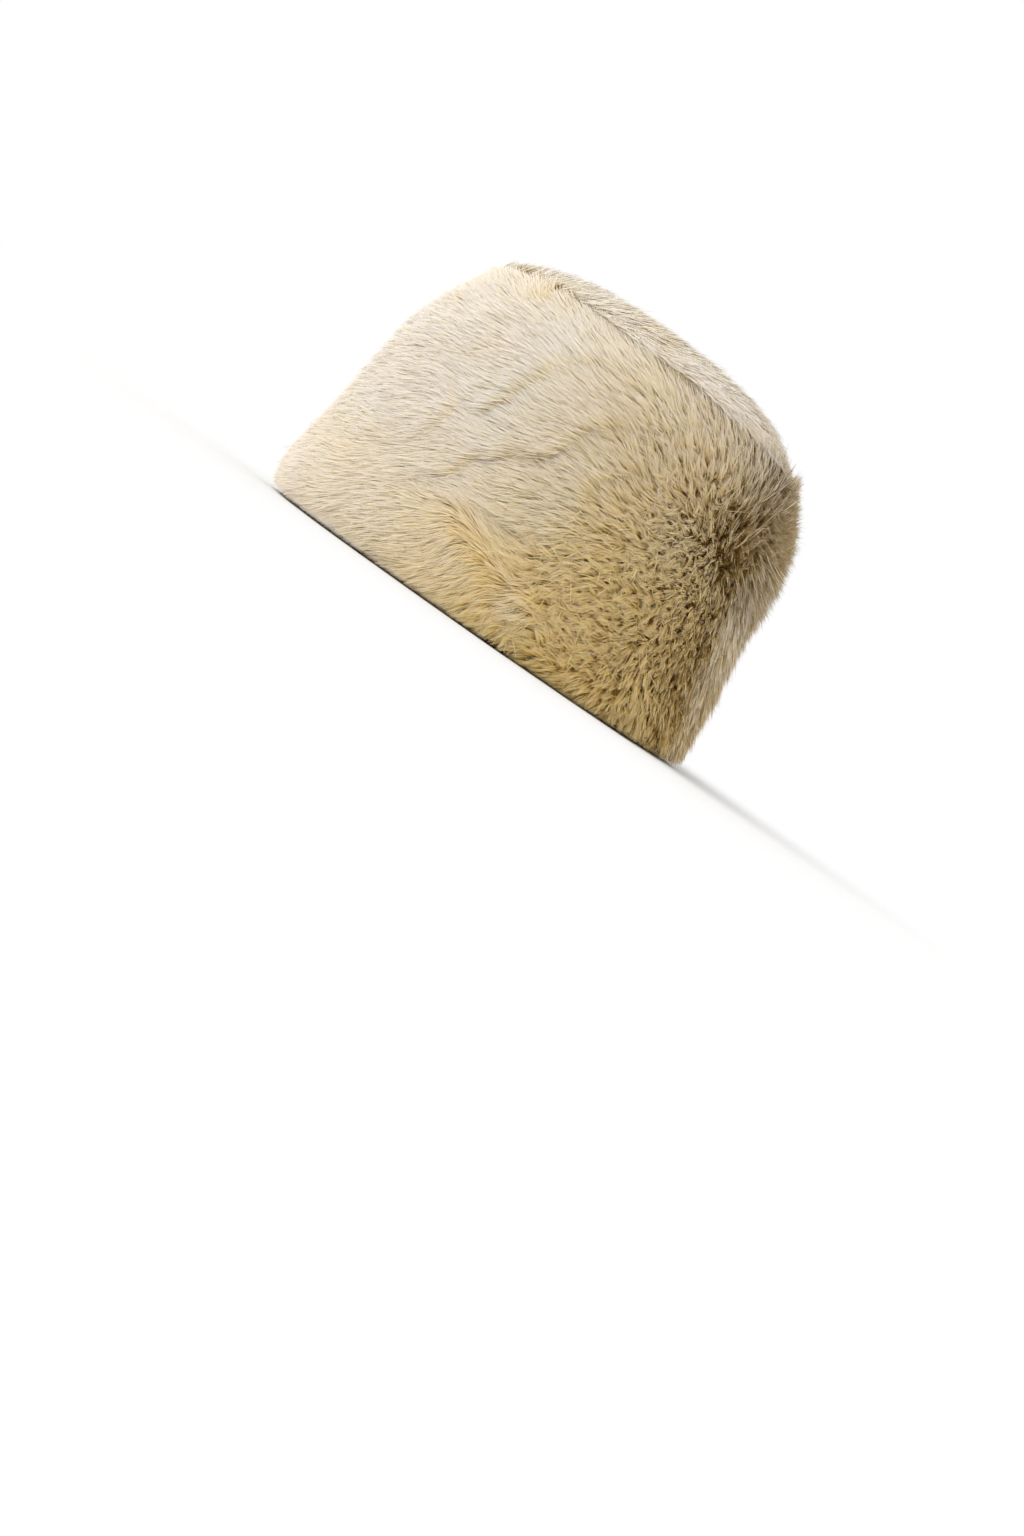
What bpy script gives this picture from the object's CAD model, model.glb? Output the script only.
"""Dresses the cossack hat in deep pile and cloth, and sets it on a pale studio floor.

Sizes are in metres, in the hat's own frame: -Y is the front, +X the wearer's left and +Z is up.
"""

import logging
import math
from dataclasses import dataclass
from enum import Enum
from itertools import product

import bmesh
import bpy
import numpy as np
from mathutils import Matrix, Vector


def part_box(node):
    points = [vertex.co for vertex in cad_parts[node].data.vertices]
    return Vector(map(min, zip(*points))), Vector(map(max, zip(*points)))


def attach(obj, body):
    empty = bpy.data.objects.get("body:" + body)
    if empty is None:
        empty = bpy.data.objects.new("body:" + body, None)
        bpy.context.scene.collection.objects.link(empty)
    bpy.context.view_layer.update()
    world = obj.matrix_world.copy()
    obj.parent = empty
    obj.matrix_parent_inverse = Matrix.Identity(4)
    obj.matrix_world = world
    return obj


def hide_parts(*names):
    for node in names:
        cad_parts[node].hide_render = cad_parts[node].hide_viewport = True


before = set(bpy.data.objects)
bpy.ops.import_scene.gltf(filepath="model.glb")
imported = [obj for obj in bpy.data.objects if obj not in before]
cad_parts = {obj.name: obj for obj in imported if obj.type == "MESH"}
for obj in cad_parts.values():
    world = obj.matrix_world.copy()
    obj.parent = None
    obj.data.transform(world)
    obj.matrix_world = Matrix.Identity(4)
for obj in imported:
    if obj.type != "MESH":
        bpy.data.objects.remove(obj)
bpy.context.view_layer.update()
LOG = logging.getLogger("cossack_hat")
BODY = "root"
EVEN = (1.0, 1.0, 1.0)
MOTTLE_DETAIL = 5.0
MOTTLE_SPREAD = (0.30, 0.70)


class Slot(Enum):
    """The record's material slots."""

    PILE = "cream_pile"
    CLOTH = "beige_cloth"


class Side(Enum):
    """The four quarters of the band, as the angle in degrees where each begins."""

    REAR = -45.0
    LEFT = 45.0
    FRONT = 135.0
    RIGHT = 225.0


class SoftNoise:
    """Smooth seeded noise over points in space, from -1 to 1."""

    LATTICE = 32
    SHIFT = 16.37

    def __init__(self, seed: int, cell: float) -> None:
        """Make the lattice.

        Args:
            seed: Seed of the lattice values.
            cell: Distance between lattice points, in metres.
        """
        self.cell = cell
        self.lattice = np.random.default_rng(seed).uniform(-1.0, 1.0, (self.LATTICE,) * 3)

    def __call__(self, points: np.ndarray) -> np.ndarray:
        """Read the noise.

        Args:
            points: Array of shape (count, 3).

        Returns:
            One value for each point.
        """
        scaled = points / self.cell + self.SHIFT
        base = np.floor(scaled).astype(int)
        part = scaled - base
        part = part * part * (3.0 - 2.0 * part)
        total = np.zeros(len(points))
        for corner in product((0, 1), repeat=3):
            weight = np.prod(np.where(np.array(corner) == 1, part, 1.0 - part), axis=1)
            place = (base + np.array(corner)) % self.LATTICE
            total += weight * self.lattice[place[:, 0], place[:, 1], place[:, 2]]
        return total


def unit(vectors: np.ndarray) -> np.ndarray:
    """Return the vectors at length 1."""
    return vectors / np.maximum(np.linalg.norm(vectors, axis=-1, keepdims=True), 1e-12)


def smooth_step(low: float, high: float, values: np.ndarray) -> np.ndarray:
    """Return a soft rise from 0 at low to 1 at high."""
    share = np.clip((values - low) / (high - low), 0.0, 1.0)
    return share * share * (3.0 - 2.0 * share)


@dataclass(frozen=True)
class Rise:
    """A share that grows with height.

    Attributes:
        start: Level where it begins, as a share of the seam height.
        run: How far above that it reaches 1.
        power: How late it grows.
    """

    start: float
    run: float
    power: float

    def at(self, level: np.ndarray) -> np.ndarray:
        """Return the share at a level."""
        return np.clip((level - self.start) / self.run, 0.0, None) ** self.power


@dataclass
class HatForm:
    """The hat's form under its pile: ovals that lean in towards a domed crown."""

    FRONT_RISE = Rise(0.12, 0.88, 1.2)
    REAR_RISE = Rise(0.08, 0.92, 1.15)
    SHOULDER_RISE = Rise(0.66, 0.34, 2)
    PASSING = 0.25

    half_width: float
    half_length: float
    seam_height: float = 0.137
    front_lean: float = 0.018
    rear_lean: float = 0.020
    side_lean: float = 0.011
    shoulder_inset: float = 0.008
    seam_ledge: float = 0.006
    pile_depth: float = 0.008
    rim_roll: float = 0.004
    wall_thickness: float = 0.020
    crown_rise: float = 0.015
    ceiling_rise: float = 0.007
    dome_power: float = 4.0
    cloth: float = 0.0015
    gap: float = 0.0003

    def shares(self, height: np.ndarray) -> tuple[np.ndarray, np.ndarray, np.ndarray]:
        """Return the front lean, rear lean and shoulder at a height, as shares of their sizes."""
        level = np.asarray(height, float) / self.seam_height
        return self.FRONT_RISE.at(level), self.REAR_RISE.at(level), self.SHOULDER_RISE.at(level)

    def wall(self, angle: np.ndarray, height: np.ndarray, inset: np.ndarray) -> np.ndarray:
        """Return points round the oval.

        Args:
            angle: 0 at the rear and a quarter turn at the wearer's left.
            height: Height above the rim.
            inset: Distance in from the outer size over the pile.

        Returns:
            Array of shape (count, 3).
        """
        front, rear, _ = self.shares(height)
        along = np.cos(angle)
        turned = smooth_step(-self.PASSING, self.PASSING, along)
        lean_along = self.front_lean * front * (1.0 - turned) + self.rear_lean * rear * turned
        lean_across = self.side_lean * (front + rear) / 2.0
        across_size = self.half_width - lean_across - inset
        along_size = self.half_length - lean_along - inset
        level = np.broadcast_to(height, np.shape(across_size * along))
        return np.stack([across_size * np.sin(angle), along_size * along, level], axis=-1)

    def outer_inset(self, height: np.ndarray) -> np.ndarray:
        """Return how far the backing lies in from the outer size."""
        return self.pile_depth + self.shoulder_inset * self.shares(height)[2]

    def inner_inset(self, height: np.ndarray) -> np.ndarray:
        """Return how far the inside of the wall lies in from the outer size."""
        top = self.pile_depth + self.shoulder_inset + self.seam_ledge
        return self.wall_thickness + (top - self.wall_thickness) * self.shares(height)[2]

    def crown(self, across: np.ndarray, along: np.ndarray, rise: float, lift: float) -> np.ndarray:
        """Return points of the crown.

        Args:
            across: Share of the way out to the seam along X, from -1 to 1.
            along: The same along Y.
            rise: Height of the dome's middle over its edge.
            lift: Height of the edge over the seam.

        Returns:
            Array of shape (count, 3).
        """
        share = np.hypot(across, along)
        inset = self.outer_inset(np.array(self.seam_height))
        edge = self.wall(np.arctan2(across, along), np.array(self.seam_height), inset)
        dome = rise * (1.0 - np.clip(share, 0.0, 1.0) ** self.dome_power)
        level = self.seam_height + self.gap + lift + dome
        return np.stack([edge[..., 0] * share, edge[..., 1] * share, level], axis=-1)


@dataclass
class Roots:
    """Places on a surface where hairs or tufts grow, as its two coordinates."""

    first: np.ndarray
    second: np.ndarray


@dataclass
class Lie:
    """How the pile lies at a set of roots, one value for each root.

    Attributes:
        point: Where the hairs start.
        normal: The outward normal.
        nap: Unit way that the pile is brushed.
        lift: Angle of the hairs over the surface at their roots, in radians.
        rest: The same at their tips.
        length: Length of the hairs.
        bend: Turn of the hairs from root to tip, in radians.
        tone: Change of the hairs' tone.
        gather: How far the hairs close up into tufts, from 0 to 1.
        scatter: Factor on how far the tufts turn from one another.
    """

    point: np.ndarray
    normal: np.ndarray
    nap: np.ndarray
    lift: np.ndarray
    rest: np.ndarray
    length: np.ndarray
    bend: np.ndarray
    tone: np.ndarray
    gather: np.ndarray
    scatter: np.ndarray


@dataclass(frozen=True)
class BrushMark:
    """A patch where the pile was brushed another way.

    Attributes:
        round_deg: Angle of its middle round the band, 0 at the rear and 90 at the wearer's left.
        height: Height of its middle over the rim.
        reach: Radius of the patch.
        turn_deg: Turn of the nap, downwards where positive.
        lift_deg: How much further the hairs stand up.
        longer: Change of the hairs' length, as a share.
        brighter: Change of the hairs' tone.
    """

    round_deg: float
    height: float
    reach: float
    turn_deg: float
    lift_deg: float = 0.0
    longer: float = 0.0
    brighter: float = 0.0


@dataclass(frozen=True)
class Parting:
    """A line where the pile lies away to both sides.

    Attributes:
        round_deg: Angle of its middle round the band.
        height: Height of its middle over the rim.
        slope_deg: Its rise towards greater angles.
        length: Half of its length.
        reach: How far on each side the pile is turned.
        turn_deg: How far the pile is turned, up above the line and down below it.
        shade: How much darker the pile is in the line itself.
    """

    round_deg: float
    height: float
    slope_deg: float
    length: float
    reach: float
    turn_deg: float
    shade: float


@dataclass(frozen=True)
class PileGrowth:
    """Sizes and habits that all the pile shares.

    Attributes:
        spacing: Distance between the hairs' roots.
        tuft_spacing: Distance between the tufts' middles.
        length: Length of a full hair.
        width: Width of a hair.
        stand_deg: Angle of a hair over the surface at its root.
        rest_deg: The same at its tip.
        stray_share: Share of the hairs that leave their tuft.
        stray_turn: Factor on a stray hair's turn.
        stray_grow: Factor on its length.
        stray_stand: Factor on how far it stands up.
        knots: Shares of a hair's length where its ribbon has a knot.
        taper: Factors on its width at each knot but the last, which is its point.
        floor_gap: Least height of a hair over the floor.
        floor_scatter: How much higher than that the tips by the floor may end.
        tuft_turn_deg: Spread of the tufts' turns.
        tuft_stand: Least and most change of how far a tuft stands up, as shares.
        tuft_grow: The same for its length.
        hair_turn_deg: Spread of the hairs' turns in a tuft.
        hair_stand: Least and most factor on how far a hair stands up.
        hair_grow: The same for its length.
        full_gather: The gather at which tufts differ in full.
        gather_spread: Least and most factor on how far a hair closes up.
        gather_power: How late along its length a hair closes up.
        gather_most: The most that a hair closes up.
        tone: Tone of the pile before its zones.
        tone_spread: Spread of the hairs' tones.
        tone_reach: How much a zone's change of tone counts.
        tone_calm: Least and most factor on the spread of the tones, by the gather.
    """

    spacing: float = 0.00062
    tuft_spacing: float = 0.0018
    length: float = 0.0150
    width: float = 0.00040
    stand_deg: float = 58.0
    rest_deg: float = 6.0
    stray_share: float = 0.06
    stray_turn: float = 2.2
    stray_grow: float = 1.10
    stray_stand: float = 1.12
    knots: tuple[float, ...] = (0.0, 0.45, 1.0)
    taper: tuple[float, ...] = (0.80, 0.95)
    floor_gap: float = 0.00015
    floor_scatter: float = 0.0020
    tuft_turn_deg: float = 7.5
    tuft_stand: tuple[float, float] = (-0.27, 0.23)
    tuft_grow: tuple[float, float] = (-0.14, 0.12)
    hair_turn_deg: float = 7.0
    hair_stand: tuple[float, float] = (0.85, 1.12)
    hair_grow: tuple[float, float] = (0.80, 1.06)
    full_gather: float = 0.5
    gather_spread: tuple[float, float] = (0.65, 1.15)
    gather_power: float = 1.3
    gather_most: float = 0.96
    tone: float = 0.42
    tone_spread: float = 0.09
    tone_reach: float = 0.25
    tone_calm: tuple[float, float] = (0.25, 1.2)


@dataclass(frozen=True)
class Touch:
    """What a zone or a noise adds to the pile where its mask is 1.

    Attributes:
        turn_deg: Turn of the nap.
        stand_deg: How much further the hairs stand up at their roots.
        rest_deg: The same at their tips.
        longer: Change of the hairs' length, as a share.
        bend: Turn of the hairs from root to tip, in radians.
        brighter: Change of the hairs' tone.
        gather: Change of how far the hairs close up into tufts.
        scatter: Change of how far the tufts turn from one another.
        proud: How far the roots stand off the surface.
    """

    turn_deg: float = 0.0
    stand_deg: float = 0.0
    rest_deg: float = 0.0
    longer: float = 0.0
    bend: float = 0.0
    brighter: float = 0.0
    gather: float = 0.0
    scatter: float = 0.0
    proud: float = 0.0


class Brushing:
    """The pile's lie while it is worked out, one value for each root."""

    def __init__(self, count: int, growth: PileGrowth, start: Touch) -> None:
        """Start from the same lie at each root.

        Args:
            count: Number of roots.
            growth: Sizes of the pile.
            start: What the surface adds to them all over.
        """
        self.length = growth.length
        self.turn = np.full(count, start.turn_deg)
        self.stand = np.full(count, growth.stand_deg + start.stand_deg)
        self.rest = np.full(count, growth.rest_deg + start.rest_deg)
        self.grow = np.full(count, 1.0 + start.longer)
        self.bend = np.full(count, start.bend)
        self.tone = np.full(count, start.brighter)
        self.gather = np.full(count, start.gather)
        self.scatter = np.full(count, start.scatter)
        self.proud = np.full(count, start.proud)

    def add(self, touch: Touch, mask: np.ndarray) -> None:
        """Add what a zone does.

        Args:
            touch: What it does where its mask is 1.
            mask: Its mask, one value for each root.
        """
        self.turn += touch.turn_deg * mask
        self.stand += touch.stand_deg * mask
        self.rest += touch.rest_deg * mask
        self.grow *= 1.0 + touch.longer * mask
        self.bend += touch.bend * mask
        self.tone += touch.brighter * mask
        self.gather += touch.gather * mask
        self.scatter += touch.scatter * mask
        self.proud += touch.proud * mask

    def finish(self, point: np.ndarray, normal: np.ndarray, nap: np.ndarray) -> Lie:
        """Return the finished lie.

        Args:
            point: The surface's points.
            normal: Their outward normals.
            nap: Unit way that the pile is brushed.

        Returns:
            The lie.
        """
        return Lie(point + normal * self.proud[:, None], normal, nap, np.radians(self.stand),
                   np.radians(self.rest), self.length * self.grow, self.bend, self.tone,
                   self.gather, self.scatter)


@dataclass
class Tufts:
    """The tufts that hairs gather into, one value for each tuft.

    Attributes:
        paths: The tuft's middle hair, of shape (count, knots, 3).
        turn: Its turn from the nap, in radians.
        stand: Factor on how far it stands up.
        grow: Factor on its length.
        tone: Its tone, from 0 to 1.
    """

    paths: np.ndarray
    turn: np.ndarray
    stand: np.ndarray
    grow: np.ndarray
    tone: np.ndarray


class PileBed:
    """A surface that pile grows on, with a loose grid of tufts.

    Subclasses say where the surface and the roots are, and how the hairs lie. The grid's first axis
    has ends, and its second one may go round.
    """

    BROAD_CELL = 0.034
    MIDDLE_CELL = 0.015
    FINE_CELL = 0.006
    SHADE_CELL = 0.022
    TUFT_SEED_STEP = 9
    TUFT_SHIFT = (0.1, 0.9)
    GOES_ROUND = False
    TRACE_STEPS = 5
    RISE_LIMITS = (0.05, 1.5)
    LOOSEST = 1.3
    SETTLE_POWER = 1.5
    SETTLE_ROOT_SHARE = 0.85
    SETTLE_TUFT_SHARE = 0.6

    def __init__(self, form: HatForm, growth: PileGrowth, seed: int) -> None:
        """Keep the form and make the noises.

        Args:
            form: The hat's form.
            growth: Sizes of the pile.
            seed: Seed of everything random on this surface.
        """
        self.form = form
        self.growth = growth
        self.chance = np.random.default_rng(seed)
        self.tuft_chance = np.random.default_rng(seed + self.TUFT_SEED_STEP)
        self.broad = SoftNoise(seed + 1, self.BROAD_CELL)
        self.middle = SoftNoise(seed + 2, self.MIDDLE_CELL)
        self.fine = SoftNoise(seed + 3, self.FINE_CELL)
        self.shade = SoftNoise(seed + 4, self.SHADE_CELL)
        self.tuft_first = np.zeros((1, 1))
        self.tuft_second = np.zeros((1, 1))

    def place(self, first: np.ndarray, second: np.ndarray) -> np.ndarray:
        """Return the surface's points at two coordinates."""
        raise NotImplementedError

    def lie(self, roots: Roots) -> Lie:
        """Return how the pile lies at the roots."""
        raise NotImplementedError

    def tuft_roots(self) -> Roots:
        """Return the roots of the tufts' middles."""
        raise NotImplementedError

    def grid_place(self, roots: Roots) -> tuple[np.ndarray, np.ndarray]:
        """Return the roots' places on the tufts' grid."""
        raise NotImplementedError

    def axes(self, roots: Roots, steps: tuple[float, float]) -> tuple[np.ndarray, ...]:
        """Measure the surface at some roots.

        Args:
            roots: Where to measure.
            steps: Small steps along the two coordinates.

        Returns:
            The points, the outward normals and the two tangents.
        """
        first, second = steps
        point = self.place(roots.first, roots.second)
        along = unit(self.place(roots.first + first, roots.second)
                     - self.place(roots.first - first, roots.second))
        up = unit(self.place(roots.first, roots.second + second)
                  - self.place(roots.first, roots.second - second))
        return point, unit(np.cross(up, along)), along, up

    def nearest_tuft(self, roots: Roots) -> np.ndarray:
        """Find the tuft that each root belongs to.

        Args:
            roots: The roots.

        Returns:
            The number of the nearest tuft to each root.
        """
        first, second = self.grid_place(roots)
        rows, columns = self.tuft_first.shape
        best = np.full(len(first), np.inf)
        owner = np.zeros(len(first), int)
        for down, across in product((-1, 0, 1), repeat=2):
            near_first = np.clip(np.floor(first).astype(int) + down, 0, rows - 1)
            near_second = np.floor(second).astype(int) + across
            if self.GOES_ROUND:
                near_second = near_second % columns
            else:
                near_second = np.clip(near_second, 0, columns - 1)
            away = self.tuft_second[near_first, near_second] - second
            if self.GOES_ROUND:
                away = (away + columns / 2.0) % columns - columns / 2.0
            distance = away ** 2 + (self.tuft_first[near_first, near_second] - first) ** 2
            closer = distance < best
            best = np.where(closer, distance, best)
            owner = np.where(closer, near_first * columns + near_second, owner)
        return owner

    def trace(self, lie: Lie, turn: np.ndarray, stand: np.ndarray, grow: np.ndarray) -> np.ndarray:
        """Trace hairs from their roots to their tips.

        Args:
            lie: How the pile lies at each root.
            turn: Turn of each hair from the nap, in radians.
            stand: Factor on how far each hair stands up.
            grow: Factor on each hair's length.

        Returns:
            Array of shape (count, knots, 3).
        """
        knots = np.array(self.growth.knots)
        side = np.cross(lie.normal, lie.nap)
        lift = np.clip(lie.lift * stand, *self.RISE_LIMITS)
        points = [lie.point]
        for start, end in zip(knots[:-1], knots[1:]):
            spot = points[-1].copy()
            for step in range(self.TRACE_STEPS):
                share = start + (end - start) * (step + 0.5) / self.TRACE_STEPS
                heading = turn + lie.bend * share
                flat = lie.nap * np.cos(heading)[:, None] + side * np.sin(heading)[:, None]
                rise = lift * (1.0 - share) + lie.rest * share
                way = flat * np.cos(rise)[:, None] + lie.normal * np.sin(rise)[:, None]
                spot += way * (lie.length * grow * (end - start) / self.TRACE_STEPS)[:, None]
            points.append(spot)
        return np.stack(points, axis=1)

    def settle(self, paths: np.ndarray, chance: np.ndarray) -> None:
        """Keep hairs off the floor, so that their tips end at scattered heights just over it.

        Args:
            paths: Hairs, of shape (count, knots, 3), changed in place.
            chance: A number from 0 to 1 for each hair.
        """
        root = paths[:, :1, 2]
        low = self.growth.floor_gap + self.growth.floor_scatter * chance[:, None] ** self.SETTLE_POWER
        low = np.minimum(low, self.SETTLE_ROOT_SHARE * root)
        drop = np.maximum(root - paths[:, :, 2], 0.0)
        deepest = np.maximum(drop.max(axis=1, keepdims=True), 1e-9)
        share = np.minimum(1.0, (root - low) / deepest)
        paths[:, :, 2] = np.where(drop > 0.0, root - drop * share, paths[:, :, 2])

    def grow_tufts(self, chance: np.random.Generator) -> Tufts:
        """Grow the middle hair of each tuft.

        Args:
            chance: What the tufts' differences are drawn from.

        Returns:
            The tufts.
        """
        growth = self.growth
        lie = self.lie(self.tuft_roots())
        count = len(lie.tone)
        loose = np.clip(lie.gather / growth.full_gather, 0.0, self.LOOSEST)
        turn = chance.normal(0.0, math.radians(growth.tuft_turn_deg), count) * loose * lie.scatter
        stand = 1.0 + chance.uniform(*growth.tuft_stand, count) * loose
        grow = 1.0 + chance.uniform(*growth.tuft_grow, count) * loose
        paths = self.trace(lie, turn, stand, grow)
        return Tufts(paths, turn, stand, grow, chance.uniform(0.0, 1.0, count))

    def hairs(self, roots: Roots, tuft_chance: np.random.Generator) -> tuple[np.ndarray, ...]:
        """Grow the hairs of some roots, gathered into tufts.

        Args:
            roots: Where the hairs grow.
            tuft_chance: What the tufts' differences are drawn from.

        Returns:
            Points of shape (count, knots, 3), the outward normals, the hairs' tones from 0 to 1
            and the tufts' tones from 0 to 1.
        """
        growth = self.growth
        chance = self.chance
        tufts = self.grow_tufts(tuft_chance)
        count = len(roots.first)
        owner = self.nearest_tuft(roots)
        lie = self.lie(roots)
        turn = tufts.turn[owner] + chance.normal(0.0, math.radians(growth.hair_turn_deg), count)
        stand = tufts.stand[owner] * chance.uniform(*growth.hair_stand, count)
        grow = tufts.grow[owner] * chance.uniform(*growth.hair_grow, count)
        stray = chance.uniform(0.0, 1.0, count) < growth.stray_share
        turn = np.where(stray, turn * growth.stray_turn, turn)
        grow = np.where(stray, grow * growth.stray_grow, grow)
        stand = np.where(stray, stand * growth.stray_stand, stand)
        paths = self.trace(lie, turn, stand, grow)
        tight = np.where(stray, 0.0, lie.gather * chance.uniform(*growth.gather_spread, count))
        late = np.array(growth.knots) ** growth.gather_power
        pull = np.clip(tight[:, None] * late[None, :], 0.0, growth.gather_most)
        paths = paths + pull[:, :, None] * (tufts.paths[owner] - paths)
        by_tuft = self.SETTLE_TUFT_SHARE
        self.settle(paths, by_tuft * tufts.tone[owner] + (1.0 - by_tuft) * chance.uniform(0.0, 1.0, count))
        calm = np.clip(lie.gather / growth.full_gather, *growth.tone_calm)
        tone = growth.tone + growth.tone_spread * calm * chance.standard_normal(count)
        tone = np.clip(tone + growth.tone_reach * lie.tone, 0.0, 1.0)
        return paths, lie.normal, tone, tufts.tone[owner]


class BandZone(Enum):
    """The noises and zones that the lie of the band's pile is built up from."""

    BROAD = "slow changes all over"
    MIDDLE = "changes over a finger's width"
    FINE = "changes from lock to lock"
    SHADE = "slow changes of tone"
    FRONT = "the smooth front"
    ENDS = "the clumped side towards the rear"
    REAR = "the rear, brushed down"
    CORNER = "the upper corner at the rear"
    WAVES = "the waves of the sides"
    SEAM = "the top edge at the crown seam"
    FRONT_SEAM = "the same at the front"
    FRONT_FOOT = "the low part of the front"
    LIGHT = "the paler upper wall"
    UNDER = "the warmer low wall"
    LOW = "the lowest rows"
    CURL = "the lower wall, where hairs curl"
    ROLL = "the roll of the rim"
    TURNED_UNDER = "the part turned under the rim"


class BandBed(PileBed):
    """The outer face of the band, from under the rim up to the seam.

    Its first coordinate is the angle round the oval, its second the way up the face in metres. A
    pair of values named for a zone is where the zone's mask begins and where it ends: in degrees
    round the oval for ROUND, in metres for HEIGHT, and as a share of the seam height for LEVEL.
    """

    GOES_ROUND = True
    AXIS_STEPS = (0.002, 0.0008)
    FACE_START = 0.020
    FACE_ROWS = 80
    RIM_HEIGHTS = (0.0006, 0.0008, 0.0018, 0.0033, 0.0054, 0.0083, 0.0130)
    RIM_INSETS = (0.0192, 0.0134, 0.0117, 0.0103, 0.0091, 0.0083, 0.0080)
    FALL_LEVELS = (0.00, 0.05, 0.13, 0.28, 0.45, 0.62, 0.78, 0.90, 1.00)
    FALL_DEGREES = (64.0, 54.0, 37.0, 27.0, 23.0, 17.0, 9.0, -2.0, -14.0)
    MARKS = (
        BrushMark(84.0, 0.010, 0.012, 22.0, 4.0, 0.05),
        BrushMark(80.5, 0.022, 0.0055, 30.0, 30.0, 0.30, 1.0),
        BrushMark(76.0, 0.028, 0.0040, 0.0, -8.0, -0.10, -1.0),
        BrushMark(71.0, 0.014, 0.010, -34.0, 8.0, 0.05, 0.3),
        BrushMark(62.0, 0.124, 0.030, -26.0),
        BrushMark(121.0, 0.133, 0.0036, 14.0, 10.0, -0.30, -0.9),
        BrushMark(126.0, 0.134, 0.0050, -34.0, 16.0, 0.0, -0.2),
        BrushMark(44.0, 0.018, 0.009, 24.0, 14.0, 0.10),
        BrushMark(148.0, 0.012, 0.018, -14.0, 4.0),
        BrushMark(300.0, 0.045, 0.022, -22.0, 6.0),
        BrushMark(262.0, 0.095, 0.026, 16.0),
        BrushMark(225.0, 0.030, 0.018, 20.0, 8.0),
        BrushMark(195.0, 0.080, 0.026, -12.0),
    )
    PARTINGS = (
        Parting(94.0, 0.0295, 28.0, 0.018, 0.010, 50.0, 0.4),
        Parting(281.0, 0.038, 20.0, 0.018, 0.010, 34.0, 0.3),
    )
    PARTING_WANDER = 0.002
    PARTING_EDGE = 0.0018
    PARTING_CORE = 0.0022
    REAR_HEIGHTS = (0.0, 0.019, 0.038, 0.086, 0.120, 0.137)
    REAR_DEGREES = (20.0, 23.0, 28.0, 31.0, 33.0, 36.0)
    REAR_WANDER_DEG = 3.0
    REAR_FALL_DEG = 66.0
    REAR_FALL_CHANGE_DEG = 8.0
    REAR_ROUND = (-62.0, -25.0)
    REAR_EDGE_ROUND = (-4.0, 4.0)
    REAR_HEIGHT = (0.058, 0.132)
    ENDS_ROUND = (102.0, 58.0)
    ENDS_HEIGHT = (0.100, 0.135)
    CORNER_ROUND = (70.0, 28.0)
    CORNER_LEVEL = (0.50, 0.76)
    FRONT_LEFT_ROUND = (66.0, 106.0)
    FRONT_RIGHT_ROUND = (232.0, 275.0)
    FRONT_DRIFT_DEG = 16.0
    FRONT_DRIFT_LEVEL = (0.48, 0.16)
    FRONT_FOOT_LEVEL = (0.35, 0.14)
    SEAM_LEVEL = (0.80, 0.99)
    LIGHT_LEVEL = (0.10, 0.85)
    LIGHT_FRONT_LOSS = 0.7
    UNDER_LEVEL = (0.04, 0.22)
    LOW_LEVEL = (0.0, 0.09)
    CURL_LEVEL = (0.0, 0.30)
    ROLL_HEIGHT = (0.0045, 0.0125)
    TURNED_UNDER = 0.0060
    WAVE_LENGTH = 0.028
    WAVE_SLOPE_DEG = 48.0
    WAVE_WANDER = (0.35, 0.30)
    WAVE_RISE = (0.0, 0.20)
    WAVE_HOLLOW = 0.4
    WAVE_ROUND = (90.0, 27.0)
    WAVE_HEIGHT = (0.080, 0.040)
    START = Touch(brighter=-0.3, gather=0.52, scatter=1.0)
    TOUCHES = {
        BandZone.BROAD: Touch(turn_deg=9.0, stand_deg=5.0, longer=0.06),
        BandZone.MIDDLE: Touch(turn_deg=6.0, stand_deg=9.0, bend=0.25, gather=0.08),
        BandZone.FINE: Touch(turn_deg=4.0),
        BandZone.SHADE: Touch(brighter=0.3),
        BandZone.FRONT: Touch(stand_deg=-20.0, rest_deg=-4.0, brighter=1.15, gather=-0.46, proud=0.0012),
        BandZone.ENDS: Touch(stand_deg=2.0, rest_deg=13.0, longer=-0.10, brighter=-0.8, gather=0.06,
                             scatter=1.3),
        BandZone.REAR: Touch(brighter=0.6),
        BandZone.CORNER: Touch(rest_deg=20.0, longer=0.16, brighter=0.2, scatter=1.2),
        BandZone.WAVES: Touch(stand_deg=21.0, rest_deg=15.0, longer=0.14, brighter=0.3, proud=0.0024),
        BandZone.SEAM: Touch(stand_deg=-10.0, rest_deg=-8.0, longer=-0.22),
        BandZone.FRONT_SEAM: Touch(turn_deg=-9.0, rest_deg=5.0),
        BandZone.FRONT_FOOT: Touch(rest_deg=9.0),
        BandZone.LIGHT: Touch(brighter=1.4),
        BandZone.UNDER: Touch(brighter=-0.35),
        BandZone.LOW: Touch(stand_deg=-6.0, rest_deg=-5.0, longer=-0.22, gather=0.16),
        BandZone.CURL: Touch(bend=-0.35),
        BandZone.ROLL: Touch(stand_deg=-20.0, rest_deg=-7.0, scatter=0.8),
        BandZone.TURNED_UNDER: Touch(longer=-0.58),
    }

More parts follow.
